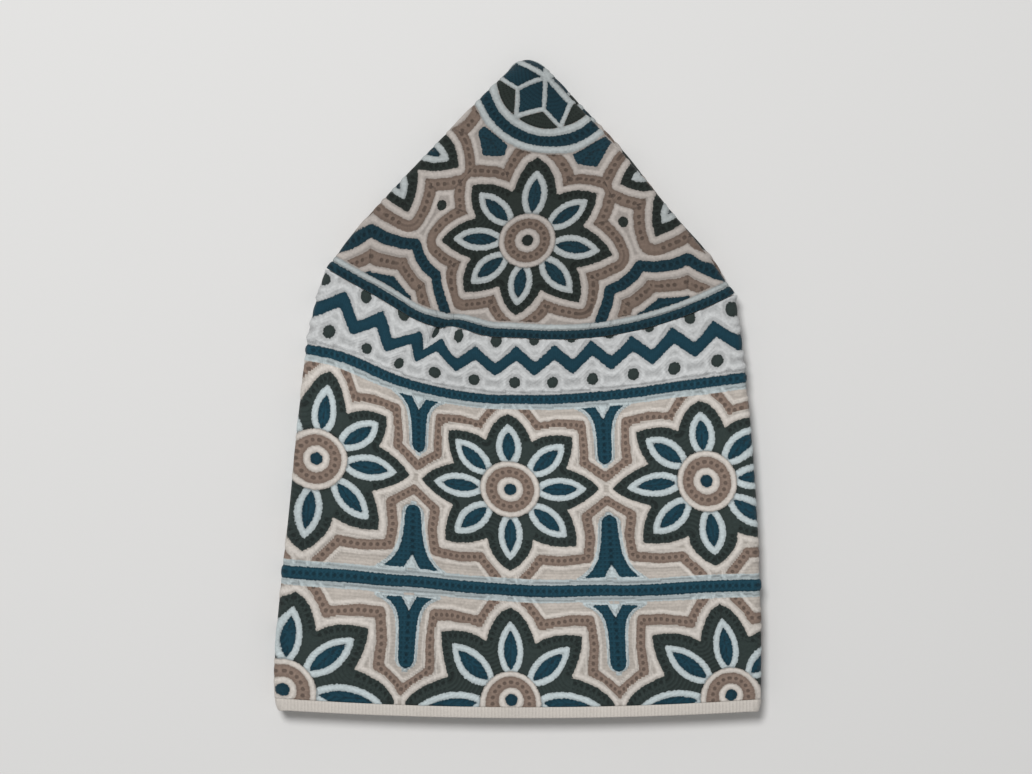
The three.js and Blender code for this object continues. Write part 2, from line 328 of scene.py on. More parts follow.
@dataclass(frozen=True)
class FoldedForm:
    """The folded cap's form, from a section table.

    drop_unit is the length in mm that the table's down columns are shares of, and drop_start is
    where it starts, in mm below the tip.
    """

    table: np.ndarray
    drop_unit: float
    drop_start: float
    curve_places: int = 161
    pocket_radii: float = 3.0

    def grid(self, places: np.ndarray, spacing: LoopSpacing) -> FoldedGrid:
        """Loops of the middle surface at the given places of the table.

        Args:
            places: Row numbers of the table, whole or not.
            spacing: How finely a loop is drawn.

        Returns:
            The grid, in mm from the tip.
        """
        rows = row_at(self.table, places)
        stretch, share = spacing.columns()
        x = rows[:, 0:6:2] * QUARTER_WIDTH
        y = -(self.drop_start + rows[:, 1:6:2] * self.drop_unit)
        left, middle, right = (np.stack([x[:, k], y[:, k]], axis=1) for k in range(3))
        pull = 2 * middle - (left + right) / 2
        t = np.linspace(0, 1, self.curve_places)[None, :, None]
        curve = (
            left[:, None] * (1 - t) ** 2 + pull[:, None] * 2 * t * (1 - t) + right[:, None] * t * t
        )
        lengths = np.linalg.norm(np.diff(curve, axis=1), axis=2)
        run = np.concatenate([np.zeros((len(rows), 1)), np.cumsum(lengths, axis=1)], axis=1)
        width = run[:, -1]
        s, z = self._loop(rows, width, stretch, share)
        points = np.empty((len(rows), len(stretch), 3))
        for j in range(len(rows)):
            for axis in range(2):
                points[j, :, axis] = np.interp(s[j], run[j], curve[j, :, axis])
            tangent = curve[j, -1] - curve[j, -2]
            tangent /= np.linalg.norm(tangent)
            beyond = np.maximum(s[j] - width[j], 0.0)
            points[j, :, 0] += tangent[0] * beyond
            points[j, :, 1] += tangent[1] * beyond
        points[:, :, 1] -= self._pull(points[:, :, 0], points[:, :, 1])
        z4 = rows[:, 6:7] * CLOTH
        z1 = rows[:, 9:10] * CLOTH
        rise = self._swell(points[:, :, 0], points[:, :, 1])
        points[:, :, 2] = z4 + (z - z4) * (1 + rise / np.maximum(z1 - z4, LAYERS * CLOTH))
        return FoldedGrid(points, stretch)

    @staticmethod
    def _pull(x: np.ndarray, y: np.ndarray) -> np.ndarray:
        """How far the cloth is pulled down the plan.

        Args:
            x: Across the plan in mm.
            y: Up the plan from the tip.

        Returns:
            The pull at each place, in mm.
        """
        total = np.zeros_like(x)
        for cx, down, spread_x, spread_y, pull in PULLS:
            u = (x / QUARTER_WIDTH - cx) / spread_x
            v = (y + down * LENGTH) / (spread_y * QUARTER_WIDTH)
            total += pull * np.exp(-u * u - v * v)
        return total

    @staticmethod
    def _swell(x: np.ndarray, y: np.ndarray) -> np.ndarray:
        """How far the stack's top rises or sinks.

        Args:
            x: Across the plan in mm.
            y: Up the plan from the tip.

        Returns:
            The rise at each place, in mm.
        """
        total = np.zeros_like(x)
        for cx, down, along, across, turn, rise in SWELLS:
            u = x / QUARTER_WIDTH - cx
            v = (y + down * LENGTH) / QUARTER_WIDTH
            c, s = math.cos(math.radians(turn)), math.sin(math.radians(turn))
            far = ((u * c + v * s) / along) ** 2 + ((v * c - u * s) / across) ** 2
            total += rise * CLOTH * np.exp(-far)
        return total

    def _loop(
        self, rows: np.ndarray, width: np.ndarray, stretch: np.ndarray, share: np.ndarray
    ) -> tuple[np.ndarray, np.ndarray]:
        """Distance along the section and height of each loop's points.

        Args:
            rows: The sections.
            width: Each section's length in mm.
            stretch: The stretch of each column.
            share: How far along its stretch each column is.

        Returns:
            Distances and heights, a row for each section.
        """
        z4, z3, z2, z1 = (rows[:, k:k + 1] * CLOTH for k in range(6, 10))
        extra = rows[:, 10:13] if rows.shape[1] > 10 else np.array([[1.0, 0.0, 0.0]])
        pocket, oval, reach = (np.broadcast_to(extra[:, k:k + 1], z1.shape) for k in range(3))
        w = width[:, None]
        inner, upper, lower = (z2 - z3) / 2, (z1 - z2) / 2, (z3 - z4) / 2
        corner = np.minimum(np.minimum(OUTER_CORNER, (z1 - z4) / 3), w / 4)
        upper_end = w - upper
        lower_end = w + reach * CLOTH - lower
        pocket_end = np.minimum(w, corner + self.pocket_radii * inner)
        inner_at = mix(np.minimum(upper_end, lower_end), pocket_end, pocket)
        f = share[None, :]

        def arc(
            s0: np.ndarray, z0: np.ndarray, radius: np.ndarray, start: float, end: float
        ) -> tuple[np.ndarray, np.ndarray]:
            """A round stretch about a centre, between two directions in degrees."""
            angle = np.radians(mix(start, end, f))
            return s0 + radius * np.cos(angle), z0 + radius * np.sin(angle)

        def run(
            s0: np.ndarray, s1: np.ndarray, height: np.ndarray
        ) -> tuple[np.ndarray, np.ndarray]:
            """A flat stretch between two distances, at one height."""
            return mix(s0, s1, f), height + 0 * f

        parts = [
            arc(corner, z1 - corner, corner, 180, 90),
            run(corner, upper_end, z1),
            arc(upper_end, (z1 + z2) / 2, upper, 90, -90),
            run(upper_end, inner_at, z2),
            arc(inner_at, (z2 + z3) / 2, inner, 90, 270),
            run(inner_at, lower_end, z3),
            arc(lower_end, (z3 + z4) / 2, lower, 90, -90),
            run(lower_end, corner, z4),
            arc(corner, z4 + corner, corner, 270, 180),
            (0 * w + 0 * f, mix(z4 + corner, z1 - corner, f)),
        ]
        s = np.choose(stretch[None, :], [p[0] for p in parts])
        z = np.choose(stretch[None, :], [p[1] for p in parts])
        stops = np.array(OVAL_STOPS, float)
        angle = np.radians(mix(stops[stretch], stops[stretch + 1], share))[None, :]
        oval_s = w / 2 * (1 + np.cos(angle))
        oval_z = (z1 + z4) / 2 + (z1 - z4) / 2 * np.sin(angle)
        return mix(s, oval_s, oval), mix(z, oval_z, oval)


@dataclass(frozen=True)
class Stripe:
    """A stripe of a field: the value at its middle and half its width."""

    middle: float
    half: float

    def of(self, field: np.ndarray) -> np.ndarray:
        """Signed distance to the stripe, below zero inside."""
        return np.abs(field - self.middle) - self.half


@dataclass
class Pattern:
    """What the embroidery is at each point of a piece.

    The first four fields are signed distances in pattern units, below zero inside. along and
    across give the run of the stitches, cord is how much of a raised cream cord lies there,
    plain is how much of it is the bare white cloth, and relief is the height in mm.
    """

    brown: np.ndarray
    green: np.ndarray
    white: np.ndarray
    blue: np.ndarray
    along: np.ndarray
    across: np.ndarray
    cord: np.ndarray
    plain: np.ndarray
    relief: np.ndarray


def nearest_on(
    x: np.ndarray, y: np.ndarray, corners: np.ndarray, closed: bool = False
) -> tuple[np.ndarray, np.ndarray, np.ndarray]:
    """Nearest place on a line of straight stretches, or on a closed outline.

    Args:
        x: Across.
        y: Down.
        corners: The corners, a row for each.
        closed: Whether the last corner joins the first.

    Returns:
        Distance, with a minus inside a closed outline, the distance with a sign for the side of
        the nearest stretch, and the run along the line.
    """
    ends = np.roll(corners, -1, axis=0) if closed else corners[1:]
    best = np.full_like(x, 1e9)
    side = np.zeros_like(x)
    run = np.zeros_like(x)
    inside = np.zeros(x.shape, bool)
    start = 0.0
    for (x0, y0), (x1, y1) in zip(corners, ends):
        length = math.hypot(x1 - x0, y1 - y0)
        ux, uy = (x1 - x0) / length, (y1 - y0) / length
        s = np.clip((x - x0) * ux + (y - y0) * uy, 0, length)
        distance = np.hypot(x - x0 - s * ux, y - y0 - s * uy)
        cross = ux * (y - y0) - uy * (x - x0)
        closer = distance < best
        best = np.where(closer, distance, best)
        side = np.where(closer, np.sign(cross) * distance, side)
        run = np.where(closer, start + s, run)
        inside ^= ((y0 > y) != (y1 > y)) & ((cross > 0) == (y1 > y0))
        start += length
    if closed:
        best = np.where(inside, -best, best)
    return best, side, run


def mirrored(half: tuple[tuple[float, float], ...], grow: tuple[float, float]) -> np.ndarray:
    """A closed outline from its right half.

    Args:
        half: Corners from the top to the bottom.
        grow: Scale across and down.

    Returns:
        The corners of the whole outline.
    """
    right = np.array(half) * grow
    left = right[-2:0:-1] * (-1, 1)
    return np.concatenate([right, left])


class PlaceWarp:
    """Carries places on the folded cloth to a measure of its flat pattern, as smoothly as fits."""

    unit = 100.0
    slack = 0.002
    least_square = 1e-12

    def __init__(self, marks: np.ndarray, values: np.ndarray) -> None:
        """Fit the measure to its marks.

        Args:
            marks: Places on the layout sheet, across and down.
            values: The measure at each of them.
        """
        self.marks = marks / self.unit
        count = len(marks)
        kernel = self._kernel(self.marks[:, 0], self.marks[:, 1]) + self.slack * np.eye(count)
        plane = np.column_stack([np.ones(count), self.marks])
        system = np.block([[kernel, plane], [plane.T, np.zeros((3, 3))]])
        self.weights = np.linalg.solve(system, np.concatenate([values, np.zeros(3)]))

    def _kernel(self, x: np.ndarray, y: np.ndarray) -> np.ndarray:
        """The bending curve of each mark at each place."""
        square = (x[:, None] - self.marks[:, 0]) ** 2 + (y[:, None] - self.marks[:, 1]) ** 2
        return square * np.log(square + self.least_square)

    def at(self, across: np.ndarray, down: np.ndarray) -> np.ndarray:
        """The measure at places on the layout sheet.

        Args:
            across: Across the sheet.
            down: Down the sheet.

        Returns:
            The measure at each place.
        """
        x, y = across.ravel() / self.unit, down.ravel() / self.unit
        value = self._kernel(x, y) @ self.weights[:-3]
        value += self.weights[-3] + self.weights[-2] * x + self.weights[-1] * y
        return value.reshape(across.shape)


class PatternPlane:
    """The flat pattern's two coordinates as seen on the folded cloth."""

    def __init__(
        self, marks: tuple[tuple[float, ...], ...], levels: tuple[tuple[float, ...], ...] = ()
    ) -> None:
        """Fit the plane to its marks.

        Args:
            marks: Across and down on the layout sheet, then across and down on the pattern.
            levels: Across and down on the sheet, then only down on the pattern.
        """
        table = np.array(marks, float)
        self.across = PlaceWarp(table[:, :2], table[:, 2])
        if levels:
            extra = np.array(levels, float)
            table = np.concatenate([table[:, [0, 1, 3]], extra])
        else:
            table = table[:, [0, 1, 3]]
        self.down = PlaceWarp(table[:, :2], table[:, 2])

    def at(self, across: np.ndarray, down: np.ndarray) -> tuple[np.ndarray, np.ndarray]:
        """Across and down on the pattern at places on the layout sheet."""
        return self.across.at(across, down), self.down.at(across, down)


@dataclass(frozen=True)
class Petal:
    """A leaf of the flower: its direction in degrees down from the right, and its white tip."""

    direction: float
    tip: float


BAND_OUTLINE = (
    (0.0, -75.1), (8.0, -71.4), (14.5, -64.5), (19.4, -55.4), (21.8, -48.0), (29.9, -52.4),
    (38.8, -54.8), (50.9, -55.2), (61.9, -53.7), (61.8, -44.9), (59.4, -35.3), (53.9, -22.2),
    (61.4, -20.1), (72.7, -15.3), (81.6, -9.3), (89.0, -1.9), (82.0, 4.5), (72.7, 11.3),
    (62.5, 16.6), (54.9, 19.9), (59.0, 26.7), (63.0, 37.2), (65.4, 47.2), (65.4, 55.6),
    (53.0, 56.2), (40.5, 55.3), (30.7, 52.5), (22.2, 49.0), (21.4, 57.6), (17.0, 66.4),
    (8.9, 76.0), (0.0, 81.6),
)
CROWN_OUTLINE = (
    (0.0, -84.2), (9.0, -78.0), (15.5, -67.0), (19.5, -54.5), (21.4, -48.5), (30.8, -52.9),
    (41.0, -55.1), (52.7, -54.1), (62.6, -51.5), (62.2, -40.0), (59.4, -29.5), (53.3, -18.5),
    (60.8, -14.9), (69.8, -9.5), (79.3, -1.4), (86.0, 7.6), (73.4, 16.0), (61.7, 21.0),
    (52.5, 23.5), (55.7, 29.5), (58.7, 40.0), (59.1, 47.0), (57.6, 57.4), (42.6, 55.5),
    (30.9, 52.5), (20.9, 48.5), (18.0, 56.0), (13.2, 65.0), (5.7, 72.5), (0.0, 76.0),
)


@dataclass(frozen=True)
class Flower:
    """An eight-petalled flower, the same on its left and right."""

    outline: np.ndarray
    petals: tuple[Petal, ...]
    leaf_base: float = 20.0
    leaf_width: float = 12.0
    leaf_stroke: float = 6.0
    eye: float = 5.8
    disc: float = 12.3
    ring: float = 22.6
    heart: float = 28.0
    cord: float = 6.8
    run_radius: float = 17.5
    run_inset: float = 4.5
    dark_eye: bool = False

    def fields(self, x: np.ndarray, y: np.ndarray) -> dict[str, np.ndarray]:
        """The flower's areas around its own centre.

        Args:
            x: Across from the centre.
            y: Down from the centre.

        Returns:
            Signed distances to its areas and cords, and the run of its stitches.
        """
        shape, _, along = nearest_on(x, y, self.outline, closed=True)
        x = np.abs(x)
        r = np.hypot(x, y)
        leaf = np.full_like(x, FAR)
        for petal in self.petals:
            a = math.radians(petal.direction)
            s = x * math.cos(a) + y * math.sin(a)
            t = -x * math.sin(a) + y * math.cos(a)
            leaf = np.minimum(leaf, self._leaf(s, t, petal.tip))
        inside = self.heart - r
        eye = r - self.eye
        leaf_blue = np.maximum(leaf + self.leaf_stroke, inside)
        green = np.maximum(shape, inside)
        ring = Stripe((self.disc + self.ring) / 2, (self.ring - self.disc) / 2).of(r)
        cord = np.maximum(-shape, shape - self.cord)
        cord = np.minimum(cord, np.maximum(r - self.heart, self.ring - r))
        cord = np.minimum(cord, np.maximum(r - self.disc, self.eye - r))
        return {
            "shape": shape,
            "green": np.minimum(green, eye) if self.dark_eye else green,
            "white": np.maximum(leaf, inside),
            "blue": leaf_blue if self.dark_eye else np.minimum(leaf_blue, eye),
            "brown": ring,
            "along": np.where(r < self.heart, np.arctan2(y, x) * self.run_radius, along),
            "across": np.where(r < self.heart, r - self.run_radius, shape + self.run_inset),
            "cord": cord,
        }

    def _leaf(self, s: np.ndarray, t: np.ndarray, tip: float) -> np.ndarray:
        """A leaf with two round sides that meet in points.

        Args:
            s: Out from the flower's middle along the leaf.
            t: Off the leaf's own middle line.
            tip: Where the leaf ends.

        Returns:
            Signed distance to the leaf.
        """
        half = (tip - self.leaf_base) / 2
        radius = (half ** 2 + self.leaf_width ** 2) / (2 * self.leaf_width)
        inset = radius - self.leaf_width
        s, t = np.abs(s - (tip + self.leaf_base) / 2), np.abs(t)
        at_point = (s - half) * inset > t * half
        return np.where(
            at_point, np.hypot(t, s - half), np.hypot(t + inset, s) - radius
        )


@dataclass(frozen=True)
class Fork:
    """A blue Y between two flowers, on its stem or turned over."""

    head: float
    foot: float
    notch: float
    arm: float
    stem: float
    swell: float
    gape: float
    notch_over: float = 1.0

    def fields(self, x: np.ndarray, y: np.ndarray) -> tuple[np.ndarray, np.ndarray]:
        """Signed distances to the blue Y and to the white notch in its head.

        Args:
            x: Across from the stem's middle.
            y: Down the pattern.

        Returns:
            The blue and the white field.
        """
        way = math.copysign(1.0, self.foot - self.head)
        d = (y - self.head) * way
        length = abs(self.foot - self.head)
        depth = abs(self.notch - self.head)
        x = np.abs(x)
        flare = (self.arm - self.stem) * np.exp(-np.maximum(d, 0.0) / self.swell)
        round_part = np.clip((d - (length - self.stem)) / self.stem, 0.0, 1.0)
        width = (self.stem + flare) * np.sqrt(np.maximum(1 - round_part ** 2, 0.0))
        body = (x - width) / np.sqrt(1 + (flare / self.swell) ** 2)
        body = np.maximum(body, np.maximum(d - length, -d))
        lean = self.gape / depth
        notch = (x - lean * (depth - d)) / math.sqrt(1 + lean ** 2)
        return np.maximum(body, -notch), np.maximum(notch, -d - self.notch_over)


@dataclass(frozen=True)
class FlowerRow:
    """A row of flowers round the band, with its brown bands and forks."""

    pitch: float
    count: int
    flower: Flower
    upper_path: np.ndarray
    lower_path: np.ndarray | None
    band_half: float
    forks: tuple[Fork, ...]
    plane: PatternPlane
    first: float
    upper_line: float
    lower_line: float


# Places of the pattern on the folded band: across and down on the layout sheet, then across and
# down on the flat pattern, whose flowers are 195.6 apart
UPPER_MARKS = (
    (510.2, 489.2, 0.0, 0.0), (507.8, 414.1, 0.0, -75.1), (510.2, 570.8, 0.0, 81.6),
    (599.4, 488.4, 89.0, -1.9), (421.7, 478.4, -89.0, -1.9), (572.1, 436.7, 61.9, -53.7),
    (448.3, 430.2, -61.9, -53.7), (576.4, 545.7, 65.4, 55.6), (445.6, 540.1, -65.4, 55.6),
    (706.2, 480.9, 195.6, 0.0), (699.1, 400.9, 195.6, -75.1), (715.9, 565.8, 195.6, 81.6),
    (612.4, 488.8, 106.6, -1.9), (635.9, 432.2, 133.7, -53.7), (643.3, 542.8, 130.2, 55.6),
    (724.7, 427.8, 217.4, -48.0), (737.1, 532.2, 217.8, 49.0), (677.8, 431.3, 173.8, -48.0),
    (688.5, 535.7, 173.4, 49.0), (647.8, 464.1, 141.7, -22.2), (651.3, 505.7, 140.7, 19.9),
    (316.6, 458.5, -195.6, 0.0), (330.3, 371.4, -195.6, -75.1), (302.0, 551.4, -195.6, 81.6),
    (409.8, 475.6, -106.6, -1.9), (386.8, 416.6, -133.7, -53.7), (378.4, 529.7, -130.2, 55.6),
    (346.9, 414.4, -173.8, -48.0), (333.1, 516.5, -173.4, 49.0), (379.3, 446.8, -141.7, -22.2),
    (371.8, 491.1, -140.7, 19.9), (416.0, 477.0, -97.8, -1.5), (606.3, 488.4, 97.8, -1.5),
    (418.7, 451.6, -97.8, -27.5), (605.0, 463.7, 97.8, -27.5), (413.7, 504.2, -97.8, 28.5),
    (608.7, 515.0, 97.8, 28.5), (418.9, 409.6, -97.8, -68.5), (603.0, 419.0, 97.8, -68.5),
    (412.5, 554.0, -97.8, 75.8), (611.5, 564.0, 97.8, 75.8),
)
UPPER_LEVELS = (
    (306, 349, -90.0), (359, 363.5, -90.0), (397, 380.5, -90.0), (445, 393, -90.0),
    (493, 399.3, -90.0), (554, 399.5, -90.0), (625, 394, -90.0), (696, 384, -90.0),
    (750, 377, -90.0), (281, 571, 100.3), (350, 576, 100.3), (397, 580.5, 100.3),
    (460, 586, 100.3), (520, 590.3, 100.3), (625, 590.5, 100.3), (696, 587, 100.3),
    (764, 585, 100.3),
)
FOOT_GROW = (1.14, 1.22)
FOOT_PITCH = 220.4
FOOT_MARKS = (
    (511.5, 699.6, 0.0, 0.0), (510.3, 607.0, 0.0, -91.6), (441.7, 631.2, -70.6, -65.5),
    (582.0, 636.0, 70.6, -65.5), (535.3, 643.7, 24.9, -58.6), (486.1, 640.9, -24.9, -58.6),
    (571.6, 677.5, 61.4, -27.1), (448.1, 676.5, -61.4, -27.1), (615.4, 705.5, 101.5, -2.3),
    (404.5, 703.1, -101.5, -2.3), (620.1, 703.0, 110.2, -3.0), (399.7, 700.0, -110.2, -3.0),
    (283.3, 689.4, -220.4, 0.0), (295.5, 591.7, -220.4, -91.6), (368.5, 628.0, -149.8, -65.5),
    (316.5, 631.2, -195.5, -58.6), (354.4, 669.2, -159.0, -27.1), (394.8, 702.3, -118.9, -2.3),
    (731.2, 694.8, 220.4, 0.0), (719.6, 603.9, 220.4, -91.6), (652.1, 635.1, 149.8, -65.5),
    (700.2, 641.2, 195.5, -58.6), (748.7, 637.7, 245.3, -58.6), (665.1, 675.8, 159.0, -27.1),
    (625.6, 706.0, 118.9, -2.3), (405.3, 667.3, -110.2, -34.0), (619.0, 670.9, 110.2, -34.0),
    (409.0, 609.4, -110.2, -81.0), (615.4, 616.9, 110.2, -81.0),
)
FOOT_LEVELS = tuple((x, y, -108.6) for x, y, _ in UPPER_LEVELS[9:])
BAND_PETALS = (
    Petal(-90.0, 65.3), Petal(-41.0, 70.5), Petal(-1.5, 74.6), Petal(40.0, 72.5),
    Petal(90.0, 70.9),
)
FOOT_PETALS = (Petal(-90.0, 79.0), Petal(-43.4, 81.5), Petal(0.0, 87.0))
CROWN_PETALS = (
    Petal(-90.0, 72.0), Petal(-39.8, 70.7), Petal(4.0, 73.7), Petal(43.5, 69.9),
    Petal(90.0, 66.6),
)
UPPER_ROW = FlowerRow(
    195.6, 10, Flower(mirrored(BAND_OUTLINE, (1.0, 1.0)), BAND_PETALS),
    np.array([
        (12.0, -86.0), (16.5, -78.0), (28.0, -62.1), (48.5, -65.8), (72.8, -63.9),
        (74.3, -38.0), (73.0, -28.5), (97.8, -14.0),
    ]),
    np.array([
        (13.0, 90.0), (20.8, 79.8), (29.9, 69.0), (50.0, 70.4), (76.3, 68.3), (78.6, 49.0),
        (74.2, 27.5), (97.8, 11.0),
    ]),
    4.8,
    (
        Fork(-80.0, -27.0, -68.0, 24.5, 8.2, 8.0, 8.2),
        Fork(87.8, 28.2, 76.0, 27.0, 7.9, 12.5, 7.4),
    ),
    PatternPlane(UPPER_MARKS, UPPER_LEVELS), -90.0, 4.4, 5.7,
)
FOOT_ROW = FlowerRow(
    FOOT_PITCH, 9,
    Flower(
        mirrored(BAND_OUTLINE, FOOT_GROW), FOOT_PETALS, leaf_base=21.0, leaf_width=12.8,
        ring=23.6, disc=12.0, heart=29.0,
    ),
    np.array([
        (11.0, -104.0), (17.9, -94.9), (31.5, -76.6), (61.0, -80.6), (80.8, -79.2),
        (84.0, -55.2), (81.8, -32.0), (110.2, -12.0),
    ]),
    None, 5.1, (Fork(-93.8, -33.0, -80.0, 28.0, 9.1, 9.0, 8.4),),
    PatternPlane(FOOT_MARKS, FOOT_LEVELS), -108.6, 5.7, 0.0,
)

# The dots and turns of the zigzag: across and down on the layout sheet, then its turn, whole at
# a peak, and its height above the line at the strip's foot
ZIGZAG_PITCH = 40.7
ZIGZAG_TURNS = 45
ZIGZAG_PEAK = 46.5
ZIGZAG_VALLEY = 31.0
ZIGZAG_CRISP = 0.975
LOWER_DOTS = 17.6
UPPER_DOTS = 58.5
STRIP_MARKS = (
    (329.0, 331.7, 0.0, LOWER_DOTS), (366.8, 348.6, 1.0, LOWER_DOTS),
    (398.8, 363.4, 2.0, LOWER_DOTS), (434.9, 372.2, 3.0, LOWER_DOTS),
    (474.0, 379.6, 4.0, LOWER_DOTS), (514.8, 382.6, 5.0, LOWER_DOTS),
    (552.6, 382.7, 6.0, LOWER_DOTS), (592.6, 379.1, 7.0, LOWER_DOTS),
    (633.4, 374.4, 8.0, LOWER_DOTS), (674.1, 368.7, 9.0, LOWER_DOTS),
    (717.3, 360.9, 10.0, LOWER_DOTS),
    (343.0, 300.0, 0.0, ZIGZAG_PEAK), (379.6, 320.0, 1.0, ZIGZAG_PEAK),
    (416.5, 338.5, 2.0, ZIGZAG_PEAK), (440.0, 346.0, 3.0, ZIGZAG_PEAK),
    (475.4, 354.2, 4.0, ZIGZAG_PEAK), (516.3, 354.4, 5.0, ZIGZAG_PEAK),
    (555.0, 353.5, 6.0, ZIGZAG_PEAK), (591.8, 349.2, 7.0, ZIGZAG_PEAK),
    (632.6, 345.0, 8.0, ZIGZAG_PEAK), (673.4, 336.7, 9.0, ZIGZAG_PEAK),
    (714.9, 330.2, 10.0, ZIGZAG_PEAK),
    (354.5, 327.7, 0.5, ZIGZAG_VALLEY), (388.5, 345.4, 1.5, ZIGZAG_VALLEY),
    (418.7, 356.0, 2.5, ZIGZAG_VALLEY), (456.3, 364.5, 3.5, ZIGZAG_VALLEY),
    (495.3, 369.0, 4.5, ZIGZAG_VALLEY), (534.6, 368.6, 5.5, ZIGZAG_VALLEY),
    (573.0, 366.2, 6.5, ZIGZAG_VALLEY), (611.4, 362.5, 7.5, ZIGZAG_VALLEY),
    (652.2, 356.7, 8.5, ZIGZAG_VALLEY), (695.3, 349.3, 9.5, ZIGZAG_VALLEY),
    (737.6, 342.6, 10.5, ZIGZAG_VALLEY),
    (325.1, 279.8, -0.5, UPPER_DOTS), (366.3, 297.0, 0.5, UPPER_DOTS),
    (403.9, 313.0, 1.5, UPPER_DOTS), (434.9, 333.0, 2.5, UPPER_DOTS),
    (458.9, 336.4, 3.5, UPPER_DOTS), (496.1, 341.5, 4.5, UPPER_DOTS),
    (533.8, 339.5, 5.5, UPPER_DOTS), (570.7, 337.0, 6.5, UPPER_DOTS),
    (609.0, 333.0, 7.5, UPPER_DOTS), (648.5, 326.0, 8.5, UPPER_DOTS),
    (689.0, 317.4, 9.5, UPPER_DOTS), (731.0, 309.8, 10.5, UPPER_DOTS),
)
STRIP_LEVELS = tuple((x, y, 0.0) for x, y, _ in UPPER_LEVELS[:9])

# The front flower's direction and the star's from it in degrees, how much of its angle the
# pattern keeps near the front, and how far the flowers lie from the crown's middle
FRONT_TURN = 96.07
STAR_TURN = -26.5
TURN_SHARE = 0.923
FLOWER_RADIUS = 165.4

# Places of the crown's pattern: across and down on the layout sheet, then distance from the
# middle and direction in degrees
CROWN_MARKS = (
    (545.3, 76.5, 0.0, 0.0), (516.0, 116.5, 51.5, 127.0), (560.6, 126.8, 51.5, 71.6),
    (543.5, 109.0, 31.0, 99.3), (517.5, 88.5, 31.0, 154.7), (570.0, 103.5, 31.0, 43.9),
    (490.0, 87.7, 59.5, 168.6), (554.6, 136.1, 59.5, 81.1), (592.7, 118.8, 59.5, 43.0),
    (500.4, 113.1, 59.5, 140.8), (480.2, 93.5, 70.0, 165.5), (601.9, 125.8, 70.0, 43.5),
    (499.6, 78.0, 51.5, 182.4), (516.6, 61.5, 31.0, 210.1),
    (555.0, 146.5, 70.0, 82.5), (492.3, 120.0, 70.0, 140.0),
)
# The same in the frame of an arch, at the left and at the right of the front flower: across from
# the arch's middle, away from that flower, and out from the crown's middle
ARCH_MARKS = (
    ((416.0, 245.0), (640.5, 266.5), (0.0, 211.5)),
    ((436.0, 275.0), (609.5, 290.5), (-41.0, 221.5)),
    ((444.5, 309.8), (601.0, 320.8), (-66.0, 244.0)),
    ((371.3, 230.5), (688.0, 259.0), (41.0, 221.5)),
    ((342.3, 247.8), (720.0, 275.8), (66.0, 244.0)),
    ((441.9, 205.5), (623.3, 222.2), (0.0, 165.5)),
    ((484.2, 125.8), (603.1, 137.3), (15.5, 77.0)),
    ((507.9, 145.4), (572.5, 154.6), (-15.5, 77.0)),
    ((477.9, 131.0), (610.0, 143.7), (18.0, 86.5)),
    ((504.4, 155.8), (576.5, 163.8), (-18.0, 86.5)),
    ((483.1, 155.2), (597.0, 166.5), (0.0, 101.0)),
)
# The same in the frame of a flower, for the front one and the ones at its left and right
FRONT_MARKS = (
    (527.5, 240.5, 0.0, 0.0), (538.2, 157.3, 0.0, -84.2), (515.5, 315.4, 0.0, 76.0),
    (597.3, 193.8, 62.6, -51.5), (472.4, 185.1, -62.6, -51.5), (612.4, 255.5, 86.0, 7.6),
    (441.4, 240.6, -86.0, 7.6), (579.1, 302.7, 57.6, 57.4), (464.3, 292.5, -57.6, 57.4),
    (582.7, 226.3, 53.3, -18.5), (476.5, 218.0, -53.3, -18.5),
)
LEFT_MARKS = (
    (458.5, 167.4, 62.6, -51.5), (418.5, 169.9, 53.3, -18.5), (408.0, 212.9, 86.0, 7.6),
)
RIGHT_MARKS = (
    (619.8, 184.1, -62.6, -51.5), (655.0, 191.6, -53.3, -18.5), (655.6, 237.2, -86.0, 7.6),
)
ARCH = np.array([
    (0.0, 211.0), (12.0, 217.5), (27.0, 221.5), (41.0, 221.5), (49.0, 230.5), (59.0, 238.5),
    (80.0, 255.0),
])
KEYSTONE = np.array([
    (-15.5, 77.0), (15.5, 77.0), (18.0, 86.5), (0.0, 101.5), (-18.0, 86.5),
])
CROWN_FLOWER = Flower(mirrored(CROWN_OUTLINE, (1.0, 1.0)), CROWN_PETALS, dark_eye=True)


@dataclass(frozen=True)
class CurvedLine:
    """A line across the cap, through places in order from left to right on the layout sheet."""

    across: np.ndarray
    down: np.ndarray

    def below(self, across: np.ndarray, down: np.ndarray) -> np.ndarray:
        """How far a point lies below the line, square to it."""
        slope = np.interp(across, self.across, np.gradient(self.down, self.across))
        return (down - np.interp(across, self.across, self.down)) / np.sqrt(1 + slope ** 2)


@dataclass(frozen=True)
class Thread:
    """How a stitched area stands on the ground: its height in mm and how softly it rises."""

    height: float
    softness: float

    def relief(self, field: np.ndarray) -> np.ndarray:
        """The area's height at each point of its field."""
        return self.height * puff(field, self.softness)


